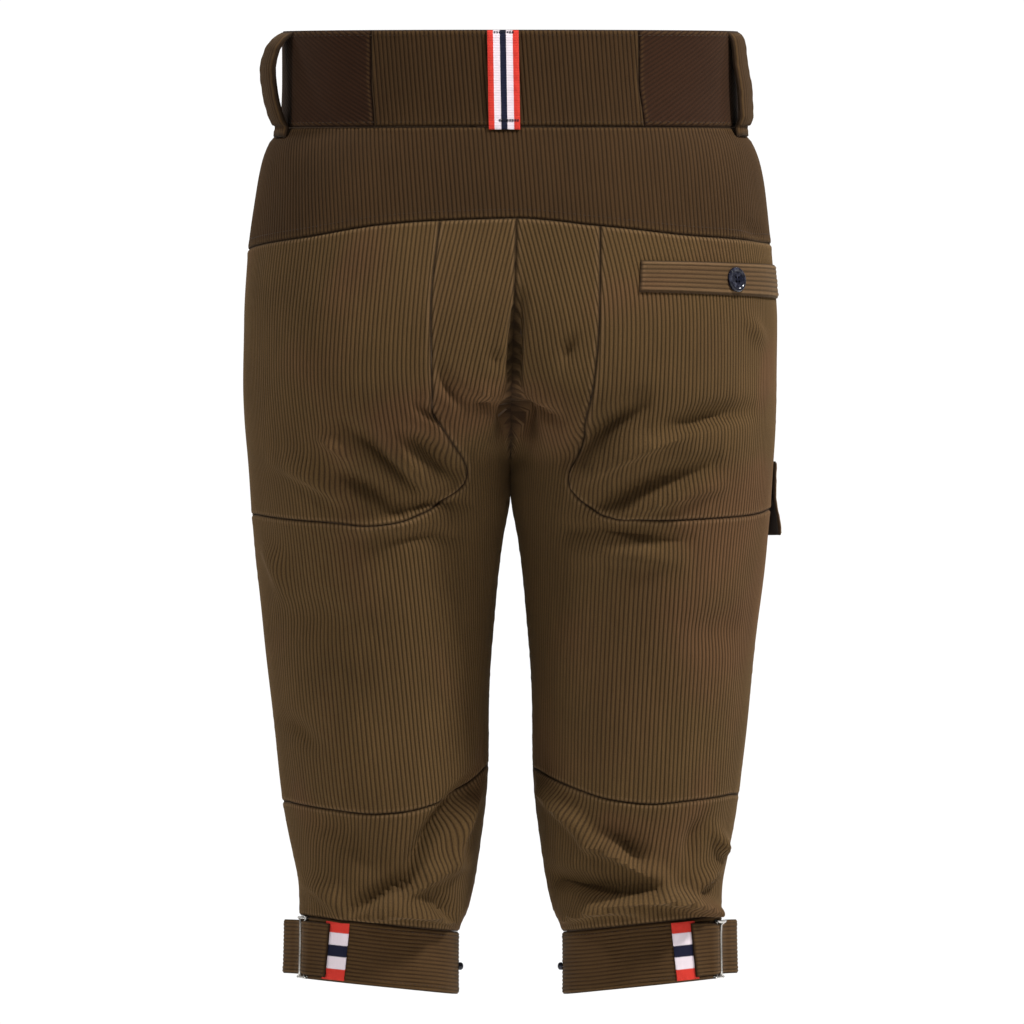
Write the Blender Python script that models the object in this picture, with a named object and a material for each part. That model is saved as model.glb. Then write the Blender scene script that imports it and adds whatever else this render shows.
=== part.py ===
"""Corduroy knickerbockers, filled out as when worn, hollow and open at the waist and both hems.

The origin is the middle of the waistband, +Z is up and the garment's front faces -Y, so its left leg is
at +X. Lengths are in millimetres and become metres where a mesh is made.

Each leg with its half of the seat is one tube of cross-sections. Above the fork the two tubes run into
each other and each stops at the middle. A place on the cloth is (across, height): across is 0 at the
centre back and along the back of the inseam, 1 at the right outseam, 2 at the centre front, and the same
below zero on the left.
"""

import math

import bpy
import numpy as np
from mathutils import Vector, geometry

# Cloth and seams
CLOTH = 1.8
BAND = 2.6
CUFF = 3.0
TRIM = 1.2
SEAM = 0.3

# Heights of the horizontal seams
WAIST_TOP = 35.0
WAIST_SEAM = -34.5
CUFF_TOP = -607.0
CUFF_HEM = -652.0

# The outseams lie a little in front of the widest line
OUTSEAM = math.radians(-6)

# The grid that every panel's inner points lie on
COLUMNS_PER_QUARTER = 12
ROW_STEP = 20.0
QUARTER_GIRTH = 250.0

# One leg tube's cross-sections. The inner reach is below zero where the tube runs past the middle.
SECTION_NAMES = ("height", "side", "inner", "front", "back", "square")
SECTIONS = (
    (60, 164.0, -164.0, -113, 112, 2.2),
    (0, 163.8, -163.4, -114, 115, 2.2),
    (-34, 165.0, -156.0, -116, 118, 2.2),
    (-46, 173.5, -155.0, -118, 122, 2.2),
    (-60, 178.5, -150.0, -119, 127, 2.2),
    (-90, 183.8, -141.0, -121, 136, 2.2),
    (-130, 188.6, -118.0, -122, 144, 2.2),
    (-173, 191.2, -92.0, -121, 148, 2.2),
    (-216, 191.2, -61.0, -118, 146, 2.2),
    (-245, 190.8, -32.0, -114, 139, 2.15),
    (-276, 189.4, 0.0, -108, 128, 2.1),
    (-300, 188.0, 1.2, -104, 119, 2.1),
    (-331, 184.8, 5.9, -100, 111, 2.1),
    (-374, 179.8, 10.4, -95, 103, 2.1),
    (-446, 171.0, 14.8, -89, 90, 2.1),
    (-518, 162.6, 19.0, -83, 79, 2.1),
    (-561, 156.8, 24.6, -75, 72, 2.1),
    (-590, 152.8, 30.8, -63, 69, 2.1),
    (-607, 151.8, 37.4, -50, 67, 2.1),
    (-660, 152.6, 37.6, -47, 64, 2.1),
)
HEIGHTS = np.array([row[0] for row in SECTIONS[::-1]], float)
COLUMNS = {name: np.array([row[i] for row in SECTIONS[::-1]], float) for i, name in enumerate(SECTION_NAMES)}

# The cuffs tilt, outer end up, and the leg eases into that tilt from just below the knee
CUFF_TILT = math.tan(math.radians(5.8))
TILT_FROM = -530.0

# The centre back seam runs a little to the right of the middle and comes back to it at the fork
SEAM_DRIFT = -4.5
DRIFT_UNTIL = -290.0

# The largest folds, on the back or the front: the ends of each fold's line, its half width and its height,
# which is below zero for a trough
FOLDS = (
    # faces, x, height, x, height, width, rise
    ("back", 117, -251, 69, -289, 9, -5.0),
    ("back", 78, -252, 48, -275, 10, -3.5),
    ("back", 130, -282, 82, -306, 9, -3.5),
    ("back", 169, -274, 122, -298, 11, 3.0),
    ("back", 18, -499, 82, -576, 12, -5.0),
    ("back", -43, -271, -92, -233, 9, -5.0),
    ("back", -103, -254, -172, -238, 9, -3.5),
    ("back", -59, -306, -146, -276, 10, -4.5),
    ("back", -19, -504, -67, -557, 12, 4.5),
    ("back", -67, -557, -108, -572, 12, 4.0),
    ("back", -42, -600, -82, -583, 9, 4.0),
    ("back", -82, -583, -142, -602, 9, 4.0),
    ("back", 70, -603, 110, -588, 9, 3.5),
    ("front", 42, -256, 112, -224, 12, -4.0),
    ("front", 44, -294, 128, -276, 12, -3.5),
    ("front", -40, -254, -104, -218, 12, -4.0),
    ("front", -46, -298, -134, -268, 12, -3.5),
    ("front", 44, -470, 138, -486, 13, -3.5),
    ("front", -50, -482, -142, -466, 13, -3.5),
    ("front", 60, -584, 128, -596, 10, 4.0),
    ("front", -58, -590, -126, -584, 10, 4.0),
)

# A fold fades where less than the second share of the cloth's direction is front or back, and is gone at
# the first
FOLD_FADE = (0.1, 0.65)

# Seams seen from the back, as (x, height)
YOKE_SEAM = (
    (187, -124), (149, -114), (92, -105), (51, -101.5), (-5, -100), (-59, -105), (-136, -113), (-191, -119),
)
SEAT_SEAM_LEFT = (
    (51, -101.5), (57, -166), (56, -232), (47, -259), (31.5, -284), (38, -292), (51.5, -309), (69, -317),
    (108, -319), (149, -317.5), (184, -313),
)
SEAT_SEAM_RIGHT = (
    (-64.5, -105.5), (-64, -165), (-60, -218), (-52, -251), (-43, -278), (-42, -292), (-52, -307), (-67, -314),
    (-105, -317), (-165, -314), (-186, -309),
)
KNEE_SEAM_LEFT = ((160, -519), (127, -525.5), (100, -528), (82, -527), (49, -519), (29, -507), (17, -492))
KNEE_SEAM_RIGHT = ((-17, -495), (-46, -510), (-72, -518), (-102, -521), (-126, -519), (-159, -514))

# The waistband's back piece ends at these places. The right front's end slides under the left's at the
# centre front: it goes down between the first two places across, and ends at the third.
BAND_BACK = (100, -92)
BAND_LIFT = 0.5
BAND_LAP = (1.93, 1.985, 2.1)

# The ribbon loop at the centre back
RIBBON_LOOP = {"x": 4.2, "width": 22.4, "top": 34.6, "bottom": -37.0}

# A side belt loop stands well off the band: how far its outer face lies from the cloth at each height
LOOP_WIDTH = 20.0
LOOP_ANGLE = 12.0
LOOP_LEFT = ((34, 2.8), (29, 9.5), (21, 15), (7, 18.3), (-10, 16.5), (-25, 12.5), (-35, 7.5), (-42, 3.2))
LOOP_RIGHT = ((34, 2.8), (28, 6.5), (11, 8.5), (-10, 11.5), (-26, 11.5), (-36, 7.5), (-42, 3.2))
LOOP_FRONT = ((34, 2.8), (28, 3.8), (12, 4.6), (-10, 4.7), (-28, 4.2), (-38, 3.1), (-42, 2.8))
LOOP_FRONT_ACROSS = 1.6
LOOP_FRONT_WIDTH = 14.0

# The welt pocket on the right seat panel: its inner end, its outer end as an angle, and its edges at both
# ends
WELT = {"inner_x": -93.2, "outer_angle": 3.0, "top": (-131.0, -133.5), "bottom": (-153.5, -157.5)}
WELT_BUTTON = {"x": -160.5, "height": -144.5}
BUTTON_RADIUS = 9.5

# The thigh pocket on the right leg's front, and its flap, whose back corner shows from behind
POCKET = {"start": 13 / 12, "end": 19 / 12, "first_row": 12, "last_row": 18}
POCKET_FULLNESS = 2.5
FLAP = {"start": 0.97, "end": 1.62, "first_row": 11, "bottom": -327.0,
        "stand": 4.6, "flare": 1.2, "corner": 1.4}

# The fly placket lies on the left front and covers the centre front seam
PLACKET = {"edge": 1.97, "sewn": 2.18, "top": -36.0, "turn": -150.0, "bottom": -192.0}

# The cuff strap: each station's angle on the cuff and its outer face's lift. It starts at its end, over the
# ribbon, passes over the buckle's inner bar and under its outer one, stands off the cuff and is sewn on in
# front.
STRAP_HALF = 19.4
STRAP = (
    (53, 3.9), (47, 3.9), (41, 4.0), (35, 4.9), (30, 4.7), (25, 3.4), (19, 2.4), (13, 2.4), (8, 3.4), (2, 7.0),
    (-6, 11.5), (-15, 13.0), (-25, 11.5), (-36, 8.0), (-47, 4.4), (-56, 2.4), (-66, 2.3), (-76, 2.3),
)
STRAP_CLOTH = 2.0
RIBBON_ANGLES = (68, 62, 56, 50, 44, 39, 35)
RIBBON_HALF = 21.0
CUFF_MIDDLE = (CUFF_TOP + CUFF_HEM) / 2
BUCKLE = {"outer": (14.0, 3.75), "inner": (32.5, 1.35), "half": 21.4, "bar": 1.0}
STUD = {"angle": 176.0, "height": -632.0, "radius": 3.1}

# Colours, linear
CORDUROY = (0.075, 0.042, 0.018, 1)
CORDUROY_DARK = (0.05, 0.027, 0.014, 1)
RIBBON = (0.55, 0.04, 0.03, 1)
NAVY = (0.012, 0.014, 0.03, 1)
STEEL = (0.6, 0.6, 0.6, 1)

for old in list(bpy.data.objects):
    bpy.data.objects.remove(old)


# Curves and sections


def smooth_line(xs, ys, x):
    """A smooth line through the points that never overshoots them."""
    step = np.diff(xs)
    slope = np.diff(ys) / step
    tangent = np.concatenate([slope[:1], np.zeros(len(slope) - 1), slope[-1:]])
    product = slope[:-1] * slope[1:]
    same = product > 0
    tangent[1:-1][same] = 2 * product[same] / (slope[:-1] + slope[1:])[same]
    i = np.clip(np.searchsorted(xs, x) - 1, 0, len(step) - 1)
    t = (x - xs[i]) / step[i]
    start = (1 + 2 * t) * (1 - t) ** 2 * ys[i] + t * (1 - t) ** 2 * step[i] * tangent[i]
    return start + t * t * (3 - 2 * t) * ys[i + 1] + t * t * (t - 1) * step[i] * tangent[i + 1]


def ease(value, start, end):
    """0 before start, 1 after end and a smooth step between."""
    t = np.clip((value - start) / (end - start), 0, 1)
    return t * t * (3 - 2 * t)


def signed_power(value, power):
    return np.sign(value) * np.abs(value) ** power


def section(height):
    """A tube's centre, half width, middle and half depth, and its exponent."""
    side, inner, front, back, square = (smooth_line(HEIGHTS, COLUMNS[name], height) for name in SECTION_NAMES[1:])
    return (side + inner) / 2, (side - inner) / 2, (front + back) / 2, (back - front) / 2, square


def middle_angle(height):
    """The angle where a tube reaches the middle of the garment, or its inseam below the fork."""
    centre, half, _, _, square = section(height)
    reach = np.clip((SEAM / 2 - centre) / half, -1, 1)
    return np.arccos(signed_power(reach, square / 2))


def drift(height):
    """How far the middle of the garment is moved sideways."""
    return SEAM_DRIFT * ease(height, DRIFT_UNTIL, WAIST_SEAM - 40) * (1 - ease(height, WAIST_SEAM, 0))


def fold_rise(x, height, faces_back):
    """How far the folds lift the cloth or let it in."""
    rise = np.zeros_like(x)
    for faces, x0, z0, x1, z1, width, high in FOLDS:
        along = ((x - x0) * (x1 - x0) + (height - z0) * (z1 - z0)) / ((x1 - x0) ** 2 + (z1 - z0) ** 2)
        t = np.clip(along, 0, 1)
        away = np.hypot(x - x0 - t * (x1 - x0), height - z0 - t * (z1 - z0))
        here = faces_back if faces == "back" else ~faces_back
        rise += here * high * (0.35 + 0.65 * np.sin(math.pi * t)) * np.exp(-((away / width) ** 2))
    return rise


def tube(side, turn, height):
    """Points on the smooth tube, and their angle. side is 1 for the left leg, turn runs from 0 to 2."""
    centre, half, mid, deep, square = section(height)
    middle = middle_angle(height)
    back = OUTSEAM + (1 - turn) * (middle - OUTSEAM)
    front = OUTSEAM - (turn - 1) * (middle + OUTSEAM)
    angle = np.where(turn <= 1, back, front)
    x = np.maximum(centre + half * signed_power(np.cos(angle), 2 / square), SEAM / 2)
    y = mid + deep * signed_power(np.sin(angle), 2 / square)
    tilt = CUFF_TILT * (1 - ease(height, CUFF_TOP, TILT_FROM))
    z = height + tilt * (x - centre)
    x = side * x + drift(height) * np.maximum(0, 1 - (x / (centre + half)) ** 2)
    return np.stack([x, y, z], -1), angle


def tube_normal(side, turn, height, points):
    """Outward directions from differences, all taken on the same side of the garment."""
    reach = 0.004
    low, high = np.clip(turn - reach, 0, 2), np.clip(turn + reach, 0, 2)
    across = points(side, low, height) - points(side, high, height)
    up = points(side, turn, height + 1) - points(side, turn, height - 1)
    normal = np.cross(across, up) * side[..., None]
    return normal / np.maximum(np.linalg.norm(normal, axis=-1, keepdims=True), 1e-9)


def smooth_points(side, turn, height):
    return tube(side, turn, height)[0]


def cloth_points(side, turn, height):
    """Points on the cloth's outer face, with the folds, which fade where the cloth turns away."""
    points, angle = tube(side, turn, height)
    normal = tube_normal(side, turn, height, smooth_points)
    rise = fold_rise(points[..., 0], points[..., 2], np.sin(angle) > 0)
    facing = ease(np.abs(normal[..., 1]), *FOLD_FADE)
    return points + (rise * facing)[..., None] * normal


def cloth(across, height, side=0):
    """Points on the cloth and their outward directions. side is 1 or -1 for a piece of one leg, and 0 for
    a piece that crosses the middle, where the two directions are averaged."""
    across, height = np.broadcast_arrays(np.asarray(across, float), np.asarray(height, float))
    if side:
        own = np.full(across.shape, float(side))
        turn = np.clip(-side * across, 0, 2)
        points = cloth_points(own, turn, height)
        return points, tube_normal(own, turn, height, cloth_points)
    wrapped = (across + 2) % 4 - 2
    own = np.where(wrapped < 0, 1.0, -1.0)
    turn = np.abs(wrapped)
    points = cloth_points(own, turn, height)
    normal = tube_normal(own, turn, height, cloth_points)
    other = tube_normal(-own, turn, height, cloth_points)
    edge = (np.minimum(turn, 2 - turn) < 1e-6)[..., None]
    normal = np.where(edge, normal + other, normal)
    points[edge[..., 0], 0] = drift(height[edge[..., 0]])
    return points, normal / np.linalg.norm(normal, axis=-1, keepdims=True)


def across_at(x, height):
    """The place across the back that shows at x."""
    x, height = np.asarray(x, float), np.asarray(height, float)
    centre, half, _, _, square = section(height)
    x = x - drift(height) * np.maximum(0, 1 - (x / (centre + half)) ** 2)
    reach = np.clip((np.abs(x) - centre) / half, -1, 1)
    angle = np.arccos(signed_power(reach, square / 2))
    middle = middle_angle(height)
    turn = np.clip(1 - (angle - OUTSEAM) / (middle - OUTSEAM), 0, 1)
    return -np.sign(x) * turn


def across_at_angle(side, degrees, height):
    """The place on one leg at an angle: 0 is its widest line, 90 its back and 180 its inner side."""
    angle = np.radians(degrees)
    middle = middle_angle(height)
    back = 1 - (angle - OUTSEAM) / (middle - OUTSEAM)
    front = 1 + (OUTSEAM - angle) / (middle + OUTSEAM)
    return -side * np.where(angle >= OUTSEAM, back, front)


# Seams, as lists of (across, height)


GRID_ROWS = np.arange(WAIST_SEAM - ROW_STEP, CUFF_TOP + ROW_STEP / 2, -ROW_STEP)
GRID_COLUMNS = np.arange(-2 * COLUMNS_PER_QUARTER, 3 * COLUMNS_PER_QUARTER + 1) / COLUMNS_PER_QUARTER


def on_cloth(points):
    points = np.array(points, float)
    return np.stack([across_at(points[:, 0], points[:, 1]), points[:, 1]], -1)


def through(points, count):
    """A smooth curve through seam points, sampled evenly along its length."""
    points = np.asarray(points, float)
    scaled = points * (QUARTER_GIRTH, 1)
    along = np.concatenate([[0], np.cumsum(np.linalg.norm(np.diff(scaled, axis=0), axis=1))])
    at = np.linspace(0, along[-1], count)
    return np.stack([smooth_line(along, points[:, k], at) for k in (0, 1)], -1)


def upright(across, start, end):
    """A seam straight down the cloth, with points on the grid's rows."""
    low, high = min(start, end), max(start, end)
    inner = [z for z in sorted({*GRID_ROWS, *NOTCHES}) if low + 3 < z < high - 3]
    line = np.array([(across, z) for z in [low, *inner, high]])
    return line if start < end else line[::-1]


def level(height, start, end):
    """A seam round the cloth at one height, with points on the grid's columns."""
    low, high = min(start, end), max(start, end)
    line = [(a, height) for a in [low, *[c for c in GRID_COLUMNS if low + 0.02 < c < high - 0.02], high]]
    return np.array(line if start < end else line[::-1])


def joined(*lines):
    """Seam lines end to end, as one outline without its doubled corners."""
    points = np.concatenate(lines)
    steps = np.abs((points - np.roll(points, 1, axis=0)) * (QUARTER_GIRTH, 1)).max(1)
    return points[steps > 0.5]


SEAT_LEFT = through(on_cloth(SEAT_SEAM_LEFT), 34)
SEAT_RIGHT = through(on_cloth(SEAT_SEAM_RIGHT), 34)
SEAT_LEFT[-1, 0], SEAT_RIGHT[-1, 0] = -1, 1
KNEE_LEFT = through(on_cloth(KNEE_SEAM_LEFT), 14)
KNEE_RIGHT = through(on_cloth(KNEE_SEAM_RIGHT), 14)
KNEE_LEFT[0, 0], KNEE_LEFT[-1, 0], KNEE_RIGHT[0, 0], KNEE_RIGHT[-1, 0] = -1, 0, 0, 1


def yoke_line():
    """The yoke's lower seam, with points where the seams below meet it."""
    table = on_cloth(YOKE_SEAM)
    table[0, 0], table[-1, 0] = -1, 1
    own = [-1, *[c for c in GRID_COLUMNS if -0.97 < c < 0.97], 1]
    corners = [SEAT_LEFT[0, 0], SEAT_RIGHT[0, 0]]
    own = [c for c in own if min(abs(c - k) for k in corners) > 0.03] + corners
    own = np.array(sorted(own))
    return np.stack([own, smooth_line(table[:, 0], table[:, 1], own)], -1)


YOKE = yoke_line()
SEAT_LEFT[0] = YOKE[np.abs(YOKE[:, 0] - SEAT_LEFT[0, 0]).argmin()]
SEAT_RIGHT[0] = YOKE[np.abs(YOKE[:, 0] - SEAT_RIGHT[0, 0]).argmin()]
CENTRE_TOP = YOKE[np.abs(YOKE[:, 0]).argmin(), 1]
SEAMS = (YOKE, SEAT_LEFT, SEAT_RIGHT, KNEE_LEFT, KNEE_RIGHT)
NOTCHES = {float(line[k, 1]) for line in SEAMS for k in (0, -1)}


# Making solids


def material(name, colour, roughness=0.9, metallic=0.0):
    made = bpy.data.materials.new(name)
    made.use_nodes = True
    shader = made.node_tree.nodes["Principled BSDF"]
    shader.inputs["Base Color"].default_value = colour
    shader.inputs["Roughness"].default_value = roughness
    shader.inputs["Metallic"].default_value = metallic
    return made


MATERIALS = {
    "corduroy": material("corduroy", CORDUROY),
    "corduroy_bias": material("corduroy_bias", CORDUROY_DARK),
    "ribbon": material("ribbon", RIBBON, 0.7),
    "button": material("button", NAVY, 0.35),
    "steel": material("steel", STEEL, 0.25, 1.0),
}


def add_mesh(name, points, faces, finish):
    """A named object from points in millimetres."""
    mesh = bpy.data.meshes.new(name)
    mesh.from_pydata((np.asarray(points) / 1000).tolist(), [], [tuple(int(i) for i in f) for f in faces])
    mesh.materials.append(MATERIALS[finish])
    mesh.shade_smooth()
    mesh.set_sharp_from_angle(angle=math.radians(40))
    made = bpy.data.objects.new(name, mesh)
    bpy.context.collection.objects.link(made)
    return made


def wall(name, outer, inner, faces, finish):
    """One closed wall between an outer and an inner layer of points, which share their faces. The rim's
    diagonals all lie the same way, so two pieces that meet at a seam have the same twist there."""
    count = len(outer)
    edges = {(f[k], f[(k + 1) % len(f)]) for f in faces for k in range(len(f))}
    rim = []
    for a, b in edges:
        if (b, a) in edges:
            continue
        if outer[a][2] > outer[b][2]:
            rim += [(b, a, b + count), (a, a + count, b + count)]
        else:
            rim += [(b, a, a + count), (b, a + count, b + count)]
    under = [tuple(i + count for i in reversed(f)) for f in faces]
    return add_mesh(name, np.concatenate([outer, inner]), [*faces, *under, *sorted(rim)], finish)


def pull_in(points, normals, outline):
    """Moves the outline's points inward along the cloth by half a seam's gap."""
    loop = points[outline]
    before, after = loop - np.roll(loop, 1, axis=0), np.roll(loop, -1, axis=0) - loop
    before /= np.linalg.norm(before, axis=1, keepdims=True)
    after /= np.linalg.norm(after, axis=1, keepdims=True)
    inward = np.cross(normals[outline], before) + np.cross(normals[outline], after)
    inward /= np.maximum((inward * inward).sum(1, keepdims=True) / 2, 0.5)
    points[outline] += SEAM / 2 * inward


def inside(points, polygon):
    """Which points are inside a polygon, and how far each is from its edges."""
    x, y = points[:, :1], points[:, 1:]
    x0, y0 = polygon.T
    x1, y1 = np.roll(polygon, -1, axis=0).T
    crosses = ((y0 > y) != (y1 > y)) & (x < (x1 - x0) * (y - y0) / np.where(y1 == y0, 1, y1 - y0) + x0)
    t = np.clip(((x - x0) * (x1 - x0) + (y - y0) * (y1 - y0)) / ((x1 - x0) ** 2 + (y1 - y0) ** 2), 0, 1)
    away = np.hypot(x - x0 - t * (x1 - x0), y - y0 - t * (y1 - y0)).min(1)
    return crosses.sum(1) % 2 == 1, away


def panel(name, outline, finish, side=0, thick=CLOTH, lift=0.0):
    """A cloth wall over the ground inside an outline, with its inner points on the grid."""
    scale = np.array([QUARTER_GIRTH, 1.0])
    flat = outline * scale
    turned = np.roll(flat, -1, axis=0)
    if (flat[:, 0] * turned[:, 1] - turned[:, 0] * flat[:, 1]).sum() < 0:
        flat = flat[::-1]
    low, high = flat.min(0) / scale, flat.max(0) / scale
    columns = [c for c in GRID_COLUMNS if low[0] < c < high[0]]
    grid = np.array([(c, z) for c in columns for z in GRID_ROWS if low[1] < z < high[1]]).reshape(-1, 2) * scale
    within, away = inside(grid, flat)
    grid = grid[within & (away > ROW_STEP * 0.4)]
    places = np.concatenate([flat, grid])
    made = geometry.delaunay_2d_cdt([Vector(p) for p in places], [], [list(range(len(flat)))], 1, 1e-6)
    places = np.array([tuple(p) for p in made[0]])
    faces = [tuple(f) for f in made[2]]
    first = [places[i] for i in faces[0]]
    edge_a, edge_b = first[1] - first[0], first[2] - first[0]
    if edge_a[0] * edge_b[1] - edge_a[1] * edge_b[0] < 0:
        faces = [f[::-1] for f in faces]
    points, normals = cloth(places[:, 0] / scale[0], places[:, 1], side)
    order = [next(i for i, p in enumerate(places) if abs(p - q).max() < 1e-4) for q in flat]
    pull_in(points, normals, order)
    points += lift * normals
    return wall(name, points, points - thick * normals, faces, finish)


def strip(name, across, heights, finish, side=0, thick=CLOTH, lift=0.0, closed=False):
    """A cloth wall over a grid of places. lift says how far its outer face lies off the cloth, and closed
    joins the last column to the first."""
    a, z = np.broadcast_arrays(np.asarray(across, float), np.asarray(heights, float))
    points, normals = cloth(a, z, side)
    inner = points + (np.broadcast_to(lift, a.shape) - thick)[..., None] * normals
    outer = points + np.broadcast_to(lift, a.shape)[..., None] * normals
    rows, cols = a.shape
    faces = []
    for i in range(rows - 1):
        for j in range(cols if closed else cols - 1):
            k = (j + 1) % cols
            faces.append((i * cols + j, (i + 1) * cols + j, (i + 1) * cols + k, i * cols + k))
    rightward = (a[0, 1] - a[0, 0]) * (z[0, 0] - z[-1, 0]) > 0
    if not rightward:
        faces = [f[::-1] for f in faces]
    return wall(name, outer.reshape(-1, 3), inner.reshape(-1, 3), faces, finish)


def frame_at(across, height, side=0):
    """The point, and the directions to the right, up and out there."""
    points, normals = cloth(np.array([across]), np.array([height]), side)
    out = normals[0]
    right = np.cross((0, 0, 1), out)
    right /= np.linalg.norm(right)
    return points[0], right, np.cross(out, right), out


def turned(name, profile, place, finish, sides=20):
    """A solid of revolution on the cloth, from (radius, lift) points that start and end on its axis."""
    point, right, up, out = place
    ring = np.array(profile[1:-1], float)
    angles = np.arange(sides) * 2 * math.pi / sides
    points = [point + profile[0][1] * out, point + profile[-1][1] * out]
    for radius, lift in ring:
        points += [point + lift * out + radius * (math.cos(t) * right + math.sin(t) * up) for t in angles]
    faces = []
    for k in range(sides):
        n = (k + 1) % sides
        faces.append((0, 2 + n, 2 + k))
        for i in range(len(ring) - 1):
            low, high = 2 + i * sides, 2 + (i + 1) * sides
            faces.append((low + k, low + n, high + n, high + k))
        last = 2 + (len(ring) - 1) * sides
        faces.append((last + k, last + n, 1))
    return add_mesh(name, points, faces, finish)


# The garment's pieces


def band_columns(start, end):
    inner = [c for c in GRID_COLUMNS if start + 0.02 < c < end - 0.02]
    return np.array([start, *inner, end])


def make_waistband():
    """Five pieces end to end. The left front lies over the right front's end at the centre front."""
    gap = SEAM / 2 / QUARTER_GIRTH
    left_end, right_end = (float(across_at(x, 0.0)) for x in BAND_BACK)
    heights = np.linspace(WAIST_TOP, WAIST_SEAM + SEAM, 4)[:, None]
    ends = {
        "waistband_back": (left_end + gap, right_end - gap, "corduroy"),
        "waistband_side_left": (-1 + gap, left_end - gap, "corduroy_bias"),
        "waistband_side_right": (right_end + gap, 1 - gap, "corduroy_bias"),
        "waistband_front_left": (-2 - gap, -1 - gap, "corduroy"),
    }
    for name, (start, end, finish) in ends.items():
        strip(name, band_columns(start, end)[None], heights, finish, thick=BAND, lift=BAND_LIFT)
    lap_start, lap_down, lap_end = BAND_LAP
    columns = np.array([*band_columns(1 + gap, lap_start), 1.96, 2.0, 2.05, lap_end])
    under = -(BAND + SEAM) * ease(columns, lap_start, lap_down)
    strip("waistband_front_right", columns[None], heights, "corduroy", thick=BAND, lift=BAND_LIFT + under)


def make_body():
    """Yoke, seat panels, leg backs, calves and leg fronts, cut along the seams."""
    top = WAIST_SEAM
    outline = joined(level(top, 1, -1), upright(-1, top, YOKE[0, 1]), YOKE, upright(1, YOKE[-1, 1], top))
    panel("yoke", outline, "corduroy")
    for name, side, seat, knee in (("left", 1, SEAT_LEFT, KNEE_LEFT), ("right", -1, SEAT_RIGHT, KNEE_RIGHT)):
        out = -side
        knee = knee if side > 0 else knee[::-1]
        corner = seat[0, 0]
        outer = YOKE[np.abs(YOKE[:, 0]) >= abs(corner) - 1e-6]
        outer = outer[np.sign(outer[:, 0]) == np.sign(corner)]
        centre = YOKE[(np.abs(YOKE[:, 0]) <= abs(corner) + 1e-6) & (YOKE[:, 0] * out >= 0)]
        if side < 0:
            outer, centre = outer[::-1], centre[::-1]
        outlines = {
            "seat_panel": (outer, seat, upright(out, seat[-1, 1], outer[0, 1])),
            "back_leg": (centre, upright(0, centre[-1, 1], knee[-1, 1]), knee[::-1],
                         upright(out, knee[0, 1], seat[-1, 1]), seat[::-1]),
            "calf": (knee, upright(0, knee[-1, 1], CUFF_TOP), level(CUFF_TOP, 0, out),
                     upright(out, CUFF_TOP, knee[0, 1])),
            "front_leg": (level(top, out, 2 * out), upright(2 * out, top, CUFF_TOP),
                          level(CUFF_TOP, 2 * out, out), upright(out, CUFF_TOP, top)),
        }
        for piece, lines in outlines.items():
            panel(f"{piece}_{name}", joined(*lines), "corduroy", side)


def strap(name, across, width, stations, finish, side=0, thick=CLOTH, columns=3):
    """A belt loop: a strap up and down the cloth, standing off it as its stations say."""
    point, right, _, _ = frame_at(across, 0.0, side)
    nearby = frame_at(across + 0.01, 0.0, side)[0]
    per_mm = 0.01 / np.linalg.norm(nearby - point)
    places = across + np.linspace(-width / 2, width / 2, columns) * per_mm
    table = np.array(stations, float)
    return strip(name, places[None], table[:, :1], finish, side, thick, table[:, 1:])


def make_loops():
    ribbon = RIBBON_LOOP
    ends = [float(across_at(ribbon["x"] + k * ribbon["width"] / 2, 0.0)) for k in (1, 0, -1)]
    stations = ((ribbon["top"], 2.1), (28, 2.9), (8, 3.4), (-14, 3.3), (-30, 2.8), (ribbon["bottom"], 2.1))
    table = np.array(stations, float)
    strip("belt_loop_back", np.array(ends)[None], table[:, :1], "ribbon", 0, TRIM, table[:, 1:])
    for name, side, stations in (("left", 1, LOOP_LEFT), ("right", -1, LOOP_RIGHT)):
        place = float(across_at_angle(side, LOOP_ANGLE, 0.0))
        strap(f"belt_loop_side_{name}", place, LOOP_WIDTH, stations, "corduroy", side, 2.0)
        place = -side * LOOP_FRONT_ACROSS
        strap(f"belt_loop_front_{name}", place, LOOP_FRONT_WIDTH, LOOP_FRONT, "corduroy", side)


def make_pockets():
    """The welt on the right seat panel and the flapped pocket on the right thigh."""
    start = float(across_at(WELT["inner_x"], WELT["top"][0]))
    end = float(across_at_angle(-1, WELT["outer_angle"], WELT["top"][1]))
    columns = band_columns(start, end)
    share = (columns - start) / (end - start)
    top, bottom = (pair[0] + (pair[1] - pair[0]) * share for pair in (WELT["top"], WELT["bottom"]))
    heights = np.stack([top, (top + bottom) / 2, bottom])
    strip("welt_pocket", columns[None], heights, "corduroy", -1, CLOTH, CLOTH + SEAM)

    columns = band_columns(POCKET["start"], POCKET["end"])
    heights = GRID_ROWS[POCKET["first_row"]:POCKET["last_row"] + 1][:, None]
    share = (columns - columns[0]) / (columns[-1] - columns[0])
    down = np.linspace(0.15, 1, len(heights))[:, None]
    fullness = POCKET_FULLNESS * np.sin(math.pi * share) * np.sin(math.pi * down)
    strip("thigh_pocket", columns[None], heights, "corduroy", -1, CLOTH, CLOTH + SEAM + fullness)

    columns = band_columns(FLAP["start"], FLAP["end"])
    share = (columns - columns[0]) / (columns[-1] - columns[0])
    down = np.array([0, 0.38, 0.76, 1])[:, None]
    top = GRID_ROWS[FLAP["first_row"]]
    heights = top + (FLAP["bottom"] - top) * down
    corner = FLAP["corner"] * down * (1 - share) ** 4
    stand = FLAP["stand"] * np.minimum(1, down / down[1])
    lift = CLOTH + 2 * SEAM + stand + FLAP["flare"] * down + corner
    strip("thigh_pocket_flap", columns[None], heights, "corduroy", -1, CLOTH, lift)


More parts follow.
